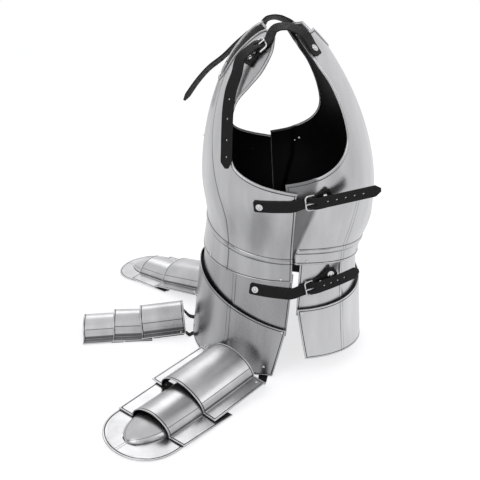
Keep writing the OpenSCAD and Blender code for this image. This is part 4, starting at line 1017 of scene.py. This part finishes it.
# Each strap: side, line, looks, place of the tongue's slot, places of the holes, length of the tip.
SLOT_HALF, HOLE_R = (7.4, 1.9), 1.6
CHEST_HOLES = (11, 11.7, 12.4, 13.1, 13.8)
WAIST_HOLES = (11, 11.8, 12.6, 13.4)
STRAPS = {
    "left_chest_strap": (1, CHEST_LINE, [CHEST_SEAT[3]] * len(CHEST_LINE), 8.65, CHEST_HOLES, 9),
    "right_chest_strap": (-1, RIGHT_CHEST_LINE, [CHEST_SEAT[3]] * len(RIGHT_CHEST_LINE), 8.65,
                          (11.3, 12, 12.55, 13.1, 13.58, 14.07, 14.6), 10),
    "left_waist_strap": (1, WAIST_LINE, [WAIST_SEAT[3]] * len(WAIST_LINE), 8.65, WAIST_HOLES, 9),
    "right_waist_strap": (-1, WAIST_LINE, [WAIST_SEAT[3]] * len(WAIST_LINE), 8.65, WAIST_HOLES, 9),
    "left_shoulder_strap": (1, *shoulder_strap(LEFT_HANG, (0.85, -0.5, 0.1), 0), 10.65,
                            (16.5, 17.5, 18.5, 19.5), 10),
    "right_shoulder_strap": (-1, *shoulder_strap(RIGHT_HANG, (0.5, -0.55, 0.65), 1), 10.65,
                             (14.1, 14.6, 15.1, 15.6, 16.2, 16.8, 17.4), 12)}
for name, (way, line, looks, slot_at, holes, tip) in STRAPS.items():
    leather(f"{name}_leather", strip(
        np.array(line) * (way, 1, 1), np.array(looks) * (way, 1, 1), STRAP_WIDE,
        STRAP_LEATHER_THICK, start=(0.7, 2), tip=(0.3, tip),
        holes=[(slot_at, *SLOT_HALF)] + [(place, HOLE_R, HOLE_R) for place in holes]),
        "cuirass", name)


# A chape is one short leather, slit for the tongue and folded round the buckle's heel bar. Its two
# layers lie on each other and are riveted to the plate.
CHAPE_WIDE = STRAP_WIDE - 2


def chape(f, long, way):
    """Folded leather on a buckle's frame: in along the plate, round the heel bar and out on top."""
    ahead = np.array([math.cos(FLAP_TURN), math.sin(FLAP_TURN)])
    low, high, ring = RUNNING_GAP + CHAPE_THICK / 2, RUNNING_GAP + CHAPE_THICK * 1.5, 2.45
    flat = [(long, low), (long * 0.6, low), (8, low), (3.5, low + 0.15)]
    eye = [(ring * math.cos(math.radians(a)), HEEL_N + ring * math.sin(math.radians(a)))
           for a in (-95, -120, -145, -170, -195, -220, -245, -270, -295, -318)]
    over = [(4.2, high + 0.75), (7.5, high), (long * 0.6, high), (long, high)]
    knots = [at(f, *(u * ahead), n) for u, n in flat + eye + over]
    turns = [min(1, max(0, (u - 0.5) / 6)) for u, n in flat + eye + over]
    across = [-unit(mix(f[2], -ahead[1] * f[1] + ahead[0] * f[2], t)) * way for t in turns]
    return strip(np.array(knots) * (way, 1, 1), knots, CHAPE_WIDE, CHAPE_THICK,
                 start=(0.67, 3), tip=(0.67, 3), holes=[(8.5, 8.6, 2.6)],
                 across=np.array(across) * (way, 1, 1))


joined("side_chape_leathers", [chape(f, long, way) for way in (1, -1)
                               for f, long in ((CHEST_SEAT, 30), (WAIST_SEAT, 48))],
       "cuirass", "side_buckle_chapes")
joined("shoulder_chape_leathers", [chape(SHOULDER_SEAT, 30, way) for way in (1, -1)],
       "cuirass", "shoulder_buckle_chapes")
